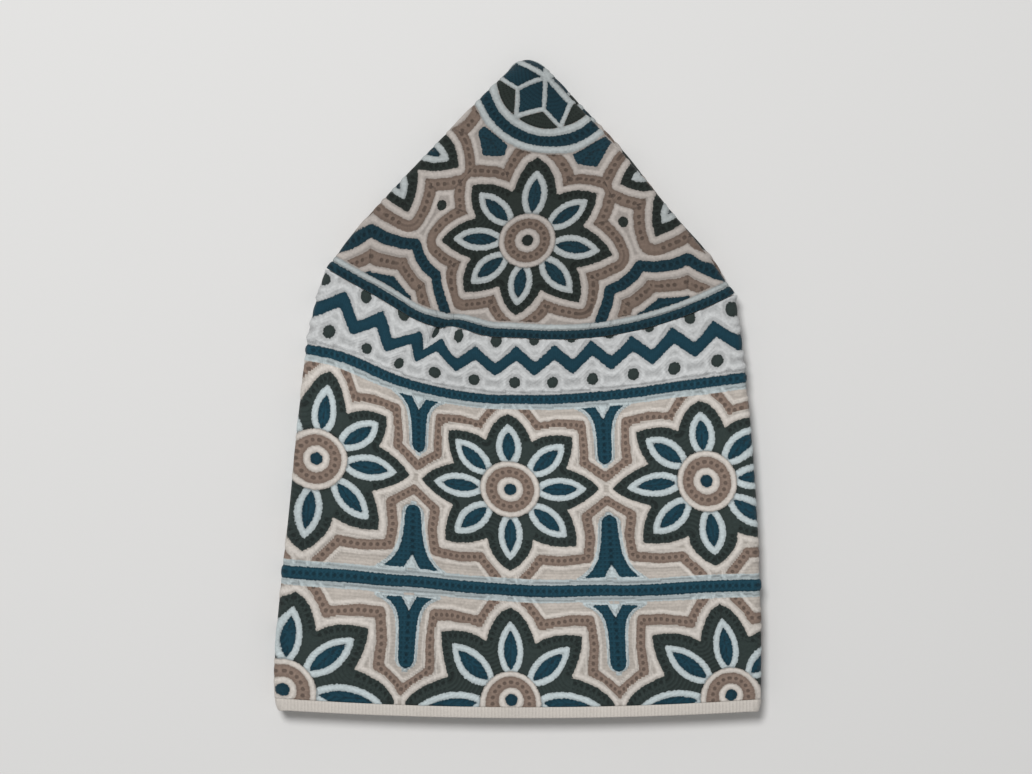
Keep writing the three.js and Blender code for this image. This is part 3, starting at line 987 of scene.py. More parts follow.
@dataclass
class Embroidery:
    """The heights of the threads, the same all over the cap.

    run_over is how far past a shape's edge its stitches still set the run.
    """

    line_height: float = 0.50
    brown_thread: Thread = Thread(0.24, 1.8)
    green_thread: Thread = Thread(0.16, 1.8)
    white_thread: Thread = Thread(0.38, 1.5)
    blue_thread: Thread = Thread(0.18, 2.0)
    cord_thread: Thread = Thread(0.40, 1.6)
    run_over: float = 2.0

    def relief(
        self, brown: np.ndarray, green: np.ndarray, white: np.ndarray, blue: np.ndarray,
        cord: np.ndarray,
    ) -> np.ndarray:
        """How high each thread stands on the ground, in mm.

        Args:
            brown: Signed distance to brown.
            green: Signed distance to green.
            white: Signed distance to white.
            blue: Signed distance to blue.
            cord: Signed distance to the cream cords.

        Returns:
            The height.
        """
        height = self.brown_thread.relief(brown)
        height = np.where(green < 0, self.green_thread.relief(green), height)
        rim = np.maximum(white, -blue)
        height = np.where(white < 0, self.white_thread.relief(rim), height)
        height = np.where(blue < 0, self.blue_thread.relief(blue), height)
        return np.maximum(height, self.cord_thread.relief(cord))


@dataclass
class BandEmbroidery(Embroidery):
    """The pattern of the side band: a zigzag strip over two rows of flowers.

    Sizes are in pattern units, and pucker_height is in mm. The line between the rows is looked
    for only below upper_to of the upper row, and what lies below foot_from of the foot row
    belongs to that row.
    """

    upper_to: float = 60.0
    foot_from: float = -60.0
    line_white: float = 5.5
    line_near: float = 3.0
    line_radius: float = 5.0
    line_groove: float = 1.5
    plain_over: float = 1.0
    fork_white: float = 3.4
    band_cord: float = 4.5
    zigzag_half: float = 5.6
    lower_dot: float = 5.8
    upper_dot: float = 5.6
    pucker_from: float = 5.0
    pucker_pitch: float = 10.5
    pucker_height: float = 0.75
    pucker_edge: float = 2.5
    dot_hold: float = 1.4
    dot_fade: float = 7.0
    zigzag_thread: Thread = Thread(0.45, 2.0)
    dot_thread: Thread = Thread(0.42, 2.2)

    def work(self, grid: FoldedGrid) -> Pattern:
        """The pattern of the side band.

        Args:
            grid: The band's middle surface.

        Returns:
            The pattern at each point.
        """
        upper_x, upper_y = self._laid(grid, UPPER_ROW)
        foot_x, foot_y = self._laid(grid, FOOT_ROW)
        across, down = grid.pattern_places()
        strip = PatternPlane(
            tuple((x, y, turn * ZIGZAG_PITCH, rise) for x, y, turn, rise in STRIP_MARKS),
            STRIP_LEVELS,
        )
        turn, rise = grid.on_top(strip.at, across, down)
        turn = grid.carried_round(turn, ZIGZAG_TURNS * ZIGZAG_PITCH)
        rise = grid.carried_round(rise, 0.0)
        upper = self._row(UPPER_ROW, upper_x, upper_y)
        foot = self._row(FOOT_ROW, foot_x, foot_y)
        zigzag = self._zigzag(turn, rise)
        from_line_2 = upper_y - UPPER_ROW.first
        from_line_3 = np.where(upper_y > self.upper_to, foot_y - FOOT_ROW.first, -FAR)
        in_upper = (from_line_2 > 0) & (from_line_3 < 0)
        in_foot = (from_line_3 >= 0) | (foot_y > self.foot_from)
        part = {
            name: np.where(in_upper, upper[name], np.where(in_foot, foot[name], zigzag[name]))
            for name in upper
        }
        line_2 = np.abs(from_line_2) - UPPER_ROW.upper_line
        line_3 = np.abs(from_line_3) - UPPER_ROW.lower_line
        lines = np.minimum(line_2, line_3)
        beside = np.where(from_line_2 < 0, FAR, lines - self.line_white)
        brown = np.maximum(part["brown"], self.line_white - lines)
        white = np.minimum(part["white"], np.maximum(beside, self.plain_over - part["green"]))
        blue = np.minimum(part["blue"], lines)
        near = lines < self.line_near
        along = np.where(near, upper_x, part["along"])
        nearest = np.where(line_2 < line_3, from_line_2, from_line_3)
        across_run = np.where(near, nearest, part["across"])
        from_crest = (lines + self.line_radius) / self.line_radius
        round_line = np.sqrt(np.clip(1 - from_crest ** 2, 0, 1))
        relief = np.where(lines < 0, self.line_height * round_line, part["relief"])
        relief = relief * np.clip(np.abs(lines) / self.line_groove, 0.0, 1.0)
        plain = np.where(from_line_2 < self.plain_over - UPPER_ROW.upper_line, 1.0, 0.0)
        return Pattern(
            brown, part["green"], white, blue, along, across_run, part["cord"], plain, relief
        )

    def _laid(self, grid: FoldedGrid, row: FlowerRow) -> tuple[np.ndarray, np.ndarray]:
        """A row's flat pattern coordinates at every point of the band.

        Args:
            grid: The band's middle surface.
            row: The row.

        Returns:
            Across and down on the row's pattern.
        """
        x, y = grid.on_top(row.plane.at, *grid.pattern_places())
        return grid.carried_round(x, row.pitch * row.count), grid.carried_round(y, 0.0)

    def _row(self, row: FlowerRow, x: np.ndarray, y: np.ndarray) -> dict[str, np.ndarray]:
        """One row of flowers with its brown band and its forks.

        Args:
            row: The row's measures.
            x: Across the pattern.
            y: Down from the flowers' middles.

        Returns:
            The fields of the row by name.
        """
        local = (x + row.pitch / 2) % row.pitch - row.pitch / 2
        side = np.abs(local)
        part = row.flower.fields(local, y)
        shape = part["shape"]
        path, off, run = nearest_on(side, y, row.upper_path)
        if row.lower_path is not None:
            low_path, low_off, low_run = nearest_on(side, y, row.lower_path)
            low = y > 0
            path = np.where(low, low_path, path)
            off = np.where(low, low_off, off)
            run = np.where(low, low_run, run)
        band = path - row.band_half
        from_cross = row.pitch / 2 - side
        fork = np.full_like(x, FAR)
        notch = np.full_like(x, FAR)
        for each in row.forks:
            blue_part, white_part = each.fields(from_cross, y)
            fork = np.minimum(fork, blue_part)
            notch = np.minimum(notch, white_part)
        brown = np.where(shape < row.flower.cord, part["brown"], np.minimum(band, part["brown"]))
        fork_rim = np.maximum(fork - self.fork_white, -band)
        white = np.minimum(part["white"], np.minimum(notch, fork_rim))
        blue = np.minimum(part["blue"], fork)
        where = [shape < self.run_over, fork < self.run_over, band < self.run_over]
        along = np.select(where, [part["along"], y, run], x)
        across = np.select(where, [part["across"], from_cross, off], y)
        cord = np.minimum(part["cord"], np.maximum(-band, band - self.band_cord))
        return {
            "brown": brown, "green": part["green"], "white": white, "blue": blue,
            "along": along, "across": across, "cord": puff(cord, self.cord_thread.softness),
            "relief": self.relief(brown, part["green"], white, blue, cord),
        }

    def _zigzag(self, turn: np.ndarray, rise: np.ndarray) -> dict[str, np.ndarray]:
        """The zigzag and dots on the plain strip under the crown's rim.

        Args:
            turn: Across the strip.
            rise: Height above the blue line at the strip's foot.

        Returns:
            The fields of the strip by name.
        """
        swing = (ZIGZAG_PEAK - ZIGZAG_VALLEY) / 2
        peak = (turn / ZIGZAG_PITCH + 0.5) % 1.0 - 0.5
        valley = (turn / ZIGZAG_PITCH) % 1.0 - 0.5
        corner = math.acos(ZIGZAG_CRISP)
        share = np.arccos(ZIGZAG_CRISP * np.cos(math.pi * (np.abs(peak) * 2))) - corner
        share = share / (math.pi - 2 * corner)
        line = ZIGZAG_PEAK - 2 * swing * share
        steep = 1 / math.hypot(1, 4 * swing / ZIGZAG_PITCH)
        off = (rise - line) * steep
        zigzag = np.abs(off) - self.zigzag_half
        lower = np.hypot(peak * ZIGZAG_PITCH, rise - LOWER_DOTS) - self.lower_dot
        upper = np.hypot(valley * ZIGZAG_PITCH, rise - UPPER_DOTS) - self.upper_dot
        dots = np.minimum(lower, upper)
        wave = swing * np.cos(2 * math.pi * turn / ZIGZAG_PITCH)
        from_wave = np.abs(rise - ((ZIGZAG_PEAK + ZIGZAG_VALLEY) / 2 + wave))
        from_wave = from_wave * mix(1.0, steep, np.abs(np.sin(math.pi * share)))
        puckers = self._rings(from_wave - self.pucker_from)
        near_dot = np.clip(self.dot_hold - dots / self.dot_fade, 0, 1)
        free = np.clip(np.minimum(zigzag, dots) / self.pucker_edge, 0, 1)
        relief = self.pucker_height * (mix(puckers, self._rings(dots), near_dot) * free)
        relief = np.maximum(relief, self.zigzag_thread.relief(zigzag))
        relief = np.maximum(relief, self.dot_thread.relief(dots))
        none = np.full_like(turn, FAR)
        return {
            "brown": none, "green": dots, "white": none, "blue": zigzag, "along": turn,
            "across": off, "cord": np.zeros_like(turn), "relief": relief,
        }

    def _rings(self, distance: np.ndarray) -> np.ndarray:
        """Puckers that follow each other at their pitch, from 0 to 1."""
        return (1 - np.cos(distance * 2 * math.pi / self.pucker_pitch)) / 2


@dataclass
class CrownEmbroidery(Embroidery):
    """The pattern of the crown: a star in a ring, five flowers, and arches on the rim.

    Sizes are in pattern units and angles in degrees. The arch's stripes are measured out from
    its line, and what starts with star belongs to the rhombi at the crown's middle.
    """

    step: float = 72.0
    even_from: float = 110.0
    band_from: float = 6.8
    band_to: float = 17.4
    band_cord: float = 6.0
    line: float = 5.7
    line_near: float = 1.0
    rim_cord: float = 17.0
    rim_brown: float = 2.0
    rim_white: float = 0.5
    eye_at: float = 165.5
    eye_radius: float = 5.2
    eye_squeeze: float = 1.1
    ring: Stripe = Stripe(64.7, 5.2)
    ring_run: float = 64.0
    ring_end: float = 77.0
    ring_white: float = 76.5
    ring_brown: float = 77.5
    arch_side: float = 8.0
    arch_split: float = 9.0
    arch_room: float = 10.5
    arch_cord_room: float = 5.0
    arch_blue: Stripe = Stripe(0.0, 5.3)
    arch_cord: Stripe = Stripe(8.7, 3.4)
    arch_brown: Stripe = Stripe(18.6, 5.6)
    lens_cord: Stripe = Stripe(27.2, 2.9)
    lens: float = 30.0
    star_step: float = 60.0
    star_point: float = 51.5
    star_edge: tuple[float, float] = (0.531, 0.846)
    star_gap: float = 2.3
    star_reach: float = 51.8

    def _plane(self) -> PatternPlane:
        """Fit the flat crown to its marks.

        Returns:
            The plane, its origin at the crown's middle.
        """
        marks = [
            (x, y, r * math.cos(math.radians(a)), r * math.sin(math.radians(a)))
            for x, y, r, a in CROWN_MARKS
        ]
        half = self.step * TURN_SHARE / 2
        for left, right, (t, q) in ARCH_MARKS:
            marks.append((*left, *self._turned(FRONT_TURN + half, t, q)))
            marks.append((*right, *self._turned(FRONT_TURN - half, -t, q)))
        for turn, table in ((0, FRONT_MARKS), (2 * half, LEFT_MARKS), (-2 * half, RIGHT_MARKS)):
            for x, y, fx, fy in table:
                marks.append((x, y, *self._turned(FRONT_TURN + turn, -fx, FLOWER_RADIUS + fy)))
        return PatternPlane(tuple(marks))

    @staticmethod
    def _turned(angle: float, t: float, q: float) -> tuple[float, float]:
        """A place of the plane from the distance q out along a direction and t clockwise of it."""
        a = math.radians(angle)
        return q * math.cos(a) - t * math.sin(a), q * math.sin(a) + t * math.cos(a)

    @staticmethod
    def _wrapped(turn: np.ndarray) -> np.ndarray:
        """Degrees brought between -180 and 180."""
        return (turn + 180.0) % 360.0 - 180.0

    def _measures(self, grid: FoldedGrid) -> tuple[np.ndarray, np.ndarray, np.ndarray]:
        """The crown's own measures at every point.

        Args:
            grid: The crown's middle surface.

        Returns:
            Distance from the crown's middle, angle from the front flower in degrees, and
            distance from the rim.
        """
        across, down = grid.pattern_places()
        x, y = grid.on_top(self._plane().at, across, down)
        top = grid.top_columns()
        rim_line = CurvedLine(across[-1, top], down[-1, top] + CLOTH / 2 / UNIT)
        rim = grid.carried_round(-rim_line.below(across, down), 0.0)
        r = grid.carried_round(np.hypot(x, y), 0.0)
        turn = np.zeros_like(x)
        turn[:, top] = self._wrapped(np.degrees(np.arctan2(y, x)[:, top]) - FRONT_TURN)
        turn = self._wrapped(grid.carried_round(turn, -360.0))
        far = np.clip((np.abs(turn) - self.even_from) / (180.0 - self.even_from), 0.0, 1.0)
        turn = turn * mix(1 / TURN_SHARE, 1.0, far * far * (3 - 2 * far))
        return r, turn, rim

    def work(self, grid: FoldedGrid) -> Pattern:
        """The pattern of the crown.

        Args:
            grid: The crown's middle surface.

        Returns:
            The pattern at each point.
        """
        r, turn, rim = self._measures(grid)
        nearest = (turn + self.step / 2) % self.step - self.step / 2
        between = turn % self.step - self.step / 2
        a = np.radians(nearest * TURN_SHARE)
        b = np.radians(between * TURN_SHARE)
        part = CROWN_FLOWER.fields(-r * np.sin(a), r * np.cos(a) - FLOWER_RADIUS)
        shape = part["shape"]
        t, q = np.abs(r * np.sin(b)), r * np.cos(b)
        _, arch, arch_run = nearest_on(t, q, ARCH)
        key, _, _ = nearest_on(t, q, KEYSTONE, closed=True)
        star = self._star(r, turn)
        eye = np.hypot(t * self.eye_squeeze, q - self.eye_at) - self.eye_radius
        band = Stripe((self.band_from + self.band_to) / 2, (self.band_to - self.band_from) / 2)
        line = Stripe(self.line, self.line).of(rim)
        below = self.rim_cord - rim
        beyond_arch = arch + self.arch_room
        brown = np.maximum(band.of(shape), np.maximum(self.ring_brown - r, beyond_arch))
        brown = np.minimum(brown, self.arch_brown.of(arch))
        brown = np.minimum(np.maximum(brown, below + self.rim_brown), part["brown"])
        green = np.minimum(part["green"], np.minimum(eye, star["dark"]))
        arch_blue = np.maximum(self.arch_blue.of(arch), below)
        lens = np.maximum(self.lens - arch, below + self.rim_white)
        white = np.minimum(part["white"], np.maximum(r - self.ring_white, -star["dark"]))
        white = np.minimum(white, -below - self.rim_white)
        blue = np.minimum(part["blue"], np.minimum(self.ring.of(r), star["blue"]))
        blue = np.minimum(blue, np.minimum(key, np.minimum(arch_blue, lens)))
        blue = np.minimum(blue, line)
        band_out = shape - self.band_to
        cord = np.minimum(part["cord"], np.maximum(-band_out, band_out - self.band_cord))
        cord = np.maximum(np.maximum(cord, -key), self.ring_end - r)
        cord = np.maximum(cord, np.maximum(beyond_arch - self.arch_cord_room, below))
        cord = np.minimum(cord, np.maximum(self.arch_cord.of(np.abs(arch)), below))
        cord = np.minimum(cord, np.maximum(self.lens_cord.of(arch), below))
        relief = self.relief(brown, green, white, blue, cord)
        round_line = np.sqrt(np.clip(1 - (rim / self.line - 1) ** 2, 0, 1))
        relief = np.where(line < 0, self.line_height * round_line, relief)
        in_flower = shape < self.run_over
        where = [
            line < self.line_near, r < self.ring_end, (arch > -self.arch_side) & ~in_flower,
            in_flower,
        ]
        on_arch = np.where(arch > self.arch_split, arch - self.arch_brown.middle, arch)
        sheet_across, _ = grid.pattern_places()
        along = np.select(
            where, [sheet_across, np.radians(turn) * self.ring_run, arch_run, part["along"]],
            part["along"],
        )
        across = np.select(
            where, [rim - self.line, r - self.ring.middle, on_arch, part["across"]],
            shape - band.middle,
        )
        cord_share = puff(cord, self.cord_thread.softness)
        none = np.zeros_like(r)
        return Pattern(brown, green, white, blue, along, across, cord_share, none, relief)

    def _star(self, r: np.ndarray, turn: np.ndarray) -> dict[str, np.ndarray]:
        """The star of six rhombi at the crown's middle.

        Args:
            r: Distance from the crown's middle.
            turn: Angle round the crown in degrees, from the front flower.

        Returns:
            The blue and dark fields.
        """
        half = self.star_step / 2
        a = np.radians(np.abs((turn - STAR_TURN + half) % self.star_step - half))
        x, y = r * np.cos(a), r * np.sin(a)
        inner = r * np.sin(np.radians(half) - a)
        outer = self.star_edge[0] * (self.star_point - x) - self.star_edge[1] * y
        dark = np.maximum(outer + self.star_gap, r - self.star_reach)
        return {"blue": self.star_gap - np.minimum(inner, outer), "dark": dark}


@dataclass(frozen=True)
class ThreadColours:
    """Colours of the cloth and its threads, as linear red, green and blue."""

    ground: tuple[float, float, float] = (0.585, 0.532, 0.478)
    cord: tuple[float, float, float] = (0.620, 0.580, 0.538)
    bare: tuple[float, float, float] = (0.568, 0.579, 0.580)
    brown: tuple[float, float, float] = (0.270, 0.200, 0.162)
    green: tuple[float, float, float] = (0.036, 0.051, 0.048)
    white: tuple[float, float, float] = (0.510, 0.575, 0.588)
    blue: tuple[float, float, float] = (0.0120, 0.056, 0.084)


# The crown is worked in duller threads than the band
CROWN_COLOURS = ThreadColours(
    ground=(0.430, 0.388, 0.356), cord=(0.430, 0.394, 0.365), brown=(0.196, 0.146, 0.118),
    green=(0.025, 0.033, 0.029), white=(0.395, 0.426, 0.427), blue=(0.0110, 0.040, 0.057),
)


class Nodes:
    """Builds a material's node tree a node at a time."""

    per_row = 12
    spacing = (180, 160)

    def __init__(self, name: str) -> None:
        """Start a material.

        Args:
            name: The material's name.
        """
        self.material = bpy.data.materials.new(name)
        self.material.use_nodes = True
        self.tree = self.material.node_tree
        self.shader = self.tree.nodes["Principled BSDF"]
        self.count = 0

    def node(self, kind: str, **settings: object) -> bpy.types.Node:
        """A new node.

        Args:
            kind: The node's type.
            settings: Its settings by name.

        Returns:
            The node.
        """
        node = self.tree.nodes.new(kind)
        row, column = divmod(self.count, self.per_row)
        self.count += 1
        node.location = (-self.spacing[0] * (column + 1), -self.spacing[1] * row)
        for name, value in settings.items():
            setattr(node, name, value)
        return node

    def link(self, value: object, socket: bpy.types.NodeSocket) -> None:
        """Set a socket to a value or link it to an output.

        Args:
            value: A number, a colour or an output.
            socket: The input that takes it.
        """
        if isinstance(value, bpy.types.NodeSocket):
            self.tree.links.new(value, socket)
        else:
            socket.default_value = value

    def math(self, operation: str, a: object, b: object = 0.0, clamp: bool = False) -> object:
        """A sum, a product or the like.

        Args:
            operation: What to work out.
            a: The first value.
            b: The second value.
            clamp: Whether the result is kept between 0 and 1.

        Returns:
            The result.
        """
        node = self.node("ShaderNodeMath", operation=operation, use_clamp=clamp)
        self.link(a, node.inputs[0])
        self.link(b, node.inputs[1])
        return node.outputs[0]

    def plus(self, a: object, b: object) -> object:
        """The sum of two values."""
        return self.math("ADD", a, b)

    def minus(self, a: object, b: object, clamp: bool = False) -> object:
        """What is left of the first value without the second."""
        return self.math("SUBTRACT", a, b, clamp)

    def times(self, a: object, b: object, clamp: bool = False) -> object:
        """The product of two values."""
        return self.math("MULTIPLY", a, b, clamp)

    def larger(self, a: object, b: object) -> object:
        """The larger of two values."""
        return self.math("MAXIMUM", a, b)

    def wave(self, value: object, length: float) -> object:
        """A wave along a value, from -1 to 1."""
        return self.math("SINE", self.times(value, 2 * math.pi / length))

    def ramp(
        self, value: object, low: float, high: float, out: tuple[float, float] = (0.0, 1.0)
    ) -> object:
        """A value carried smoothly from one range to another.

        Args:
            value: The value.
            low: Where the first range starts.
            high: Where it ends.
            out: The second range.

        Returns:
            The value in the second range.
        """
        node = self.node("ShaderNodeMapRange", interpolation_type="SMOOTHSTEP")
        self.link(value, node.inputs["Value"])
        node.inputs["From Min"].default_value = low
        node.inputs["From Max"].default_value = high
        node.inputs["To Min"].default_value = out[0]
        node.inputs["To Max"].default_value = out[1]
        return node.outputs["Result"]

    def blend(self, factor: object, a: object, b: object) -> object:
        """A colour that turns to another one.

        Args:
            factor: How far it turns.
            a: The colour at 0.
            b: The colour at 1.

        Returns:
            The colour between them.
        """
        node = self.node("ShaderNodeMix", data_type="RGBA")
        self.link(factor, node.inputs[0])
        for value, socket in ((a, node.inputs[6]), (b, node.inputs[7])):
            self.link((*value, 1.0) if isinstance(value, tuple) else value, socket)
        return node.outputs[2]

    def noise(self, vector: object, scale: float, detail: float = 2.0) -> object:
        """An uneven value over the cloth.

        Args:
            vector: Where the surface is.
            scale: How fine the value is, per metre.
            detail: How many finer layers it has.

        Returns:
            The value, about 0.5 on the whole.
        """
        node = self.node("ShaderNodeTexNoise")
        self.link(vector, node.inputs["Vector"])
        node.inputs["Scale"].default_value = scale
        node.inputs["Detail"].default_value = detail
        return node.outputs["Fac"]

    def attribute(self, name: str) -> tuple[object, object, object]:
        """A vector that the mesh holds.

        Args:
            name: The attribute's name.

        Returns:
            Its three parts.
        """
        vector = self.node("ShaderNodeAttribute", attribute_name=name).outputs["Vector"]
        node = self.node("ShaderNodeSeparateXYZ")
        self.link(vector, node.inputs[0])
        return node.outputs[0], node.outputs[1], node.outputs[2]

    def tint(self, colour: object, tone: object) -> None:
        """Colour the surface.

        Args:
            colour: The colour.
            tone: What makes it lighter or darker.
        """
        tinted = self.node("ShaderNodeVectorMath", operation="SCALE")
        self.link(colour, tinted.inputs[0])
        self.link(tone, tinted.inputs["Scale"])
        self.link(tinted.outputs[0], self.shader.inputs["Base Color"])

    def shine(self, roughness: float, specular: float, sheen: float = 0.0) -> None:
        """Set how the surface takes the light.

        Args:
            roughness: How dull it is.
            specular: How much it reflects.
            sheen: How much its fuzz catches.
        """
        self.shader.inputs["Roughness"].default_value = roughness
        self.shader.inputs["Specular IOR Level"].default_value = specular
        self.shader.inputs["Sheen Weight"].default_value = sheen

    def emboss(self, height: object, strength: float, depth: float) -> None:
        """Let a height show as fine relief.

        Args:
            height: The height.
            strength: How much of it shows.
            depth: What a height of 1 is, in metres.
        """
        bump = self.node("ShaderNodeBump")
        bump.inputs["Strength"].default_value = strength
        bump.inputs["Distance"].default_value = depth
        self.link(height, bump.inputs["Height"])
        self.link(bump.outputs["Normal"], self.shader.inputs["Normal"])


@dataclass(frozen=True)
class EmbroideredCloth:
    """The finish of the crown and the band: thread colours over cream cloth, with painted shade in
    the relief's valleys and painted highlight on its crests.

    Lengths on the cloth are in pattern units, scales are per metre, and bump_depth is in metres.
    """

    name: str
    colours: ThreadColours = ThreadColours()
    stitch: float = 6.0
    weave: float = 4.0
    thread: float = 2.0
    ground_rows: float = 2.9
    ragged: float = 2.6
    edge: float = 0.45
    hole: tuple[float, float] = (1.0, 2.4)
    pore: tuple[float, float] = (0.5, 1.5)
    fray_scale: float = 1500.0
    fleck_scale: float = 1300.0
    fine_detail: float = 3.0
    drift_scale: float = 45.0
    drift_tone: float = 0.24
    fleck_tone: float = 0.56
    least_tone: float = 0.60
    pore_depth: float = 0.5
    bare_depth: float = 0.30
    deep_shade: float = 0.50
    # How much less painted shade the bare cloth takes, then the tone of the painted highlight on a
    # crest and of the painted shade in a valley
    bare_shade_cut: float = 0.7
    painted_shade_tones: tuple[float, float] = (1.10, 0.76)
    rib_height: float = 0.10
    deep_height: float = 0.9
    fleck_height: float = 0.5
    bump: float = 0.7
    bump_depth: float = 0.00040
    roughness: float = 0.86
    specular: float = 0.15
    sheen: float = 0.08

    def material(self) -> bpy.types.Material:
        """The material, reading the pattern's fields from the mesh.

        Returns:
            The new material.
        """
        n = Nodes(self.name)
        spot = n.node("ShaderNodeTexCoord").outputs["Object"]
        brown, green, blue = n.attribute("fields")
        along, across, white = n.attribute("run")
        # The ground's third part is how deep the relief lies below its surroundings, for the
        # painted shade and highlight
        cord, bare, painted_shade = n.attribute("ground")
        fray = n.minus(n.noise(spot, self.fray_scale, self.fine_detail), 0.5)
        fray = n.times(fray, self.ragged)
        fleck = n.noise(spot, self.fleck_scale, self.fine_detail)

        def inside(field: object) -> object:
            """How much of a thread lies at a place, its edge frayed."""
            return n.ramp(n.plus(field, fray), -self.edge, self.edge, (1.0, 0.0))

        in_brown, in_green, in_white, in_blue = (inside(f) for f in (brown, green, white, blue))
        c = self.colours
        colour = n.blend(cord, n.blend(bare, c.ground, c.bare), c.cord)
        for share, tint in (
            (in_brown, c.brown), (in_green, c.green), (in_white, c.white), (in_blue, c.blue)
        ):
            colour = n.blend(share, colour, tint)
        dyed = n.larger(in_brown, n.larger(in_green, in_blue))
        dyed = n.larger(n.times(dyed, n.minus(1.0, in_white), clamp=True), in_blue)
        dark = n.larger(in_green, in_blue)
        hole, pore = self._holes(n, along, across)
        deep = n.larger(hole, n.times(pore, n.times(dark, self.pore_depth)))
        deep = n.times(deep, n.minus(dyed, bare, clamp=True))
        deep = n.larger(deep, n.times(bare, n.times(dark, self.bare_depth)))
        tone = n.times(n.noise(spot, self.drift_scale), self.drift_tone)
        tone = n.plus(n.plus(tone, n.times(fleck, self.fleck_tone)), self.least_tone)
        # Painted shade darkens the relief's valleys and painted highlight lightens its crests,
        # less on the bare cloth
        painted_shade = n.times(painted_shade, n.minus(1.0, n.times(bare, self.bare_shade_cut)))
        shade = n.minus(1.0, n.times(deep, self.deep_shade))
        shade = n.times(shade, n.ramp(painted_shade, -1.0, 1.0, self.painted_shade_tones))
        n.tint(colour, n.times(shade, tone))
        n.shine(self.roughness, self.specular, self.sheen)
        plain = n.minus(1.0, n.larger(dyed, cord), clamp=True)
        height = n.times(n.wave(along, self.thread), n.times(dyed, self.rib_height))
        rows = n.times(n.wave(across, self.ground_rows), n.times(plain, self.rib_height))
        height = n.minus(n.plus(height, rows), n.times(deep, self.deep_height))
        height = n.plus(height, n.times(fleck, self.fleck_height))
        n.emboss(height, self.bump, self.bump_depth)
        return n.material

    def _holes(self, n: Nodes, along: object, across: object) -> tuple[object, object]:
        """Where the needle went through the cloth.

        Args:
            n: The material's nodes.
            along: The run along the stitches.
            across: The place across them.

        Returns:
            One row of holes down the middle of a band, and a field of small pores.
        """
        def cell(value: object, pitch: float) -> object:
            """How far a value is from the middle of its own stretch of a row."""
            return n.times(n.minus(n.math("FRACT", n.math("DIVIDE", value, pitch)), 0.5), pitch)

        def spots(u: object, v: object, reach: tuple[float, float]) -> object:
            """Round spots, full to the first radius and gone at the second."""
            squares = n.plus(n.times(u, u), n.times(v, v))
            return n.ramp(n.math("SQRT", squares), *reach, (1.0, 0.0))

        row = spots(cell(along, self.stitch), across, self.hole)
        pores = spots(cell(along, self.weave), cell(across, self.weave), self.pore)
        return row, pores


@dataclass(frozen=True)
class RibbedBinding:
    """The finish of the hem: cream thread laid across the edge in fine ribs, with painted shade in
    their grooves and painted highlight on their crests.

    rib is in pattern units, scales are per metre, and bump_depth is in metres.
    """

    name: str
    colour: tuple[float, float, float] = (0.63, 0.585, 0.535)
    rib: float = 3.4
    fleck_scale: float = 2200.0
    drift_scale: float = 60.0
    fleck_tone: float = 0.24
    drift_tone: float = 0.2
    least_tone: float = 0.78
    # How much the ribs' painted shade and highlight darken and lighten the colour
    rib_shade_tone: float = 0.035
    rib_height: float = 0.5
    bump: float = 0.5
    bump_depth: float = 0.0003
    roughness: float = 0.88
    specular: float = 0.2
    sheen: float = 0.25

    def material(self) -> bpy.types.Material:
        """The material, its ribs running round the edge by the mesh's run.

        Returns:
            The new material.
        """
        n = Nodes(self.name)
        spot = n.node("ShaderNodeTexCoord").outputs["Object"]
        along, _, _ = n.attribute("run")
        fleck = n.noise(spot, self.fleck_scale)
        drift = n.noise(spot, self.drift_scale)
        ribs = n.wave(along, self.rib)
        tone = n.plus(n.times(fleck, self.fleck_tone), n.times(drift, self.drift_tone))
        # Painted shade in the grooves between the ribs and painted highlight on their crests,
        # following the ribs' bump
        n.tint(self.colour, n.plus(n.plus(tone, self.least_tone), n.times(ribs, self.rib_shade_tone)))
        n.shine(self.roughness, self.specular, self.sheen)
        n.emboss(n.plus(n.times(ribs, self.rib_height), fleck), self.bump, self.bump_depth)
        return n.material


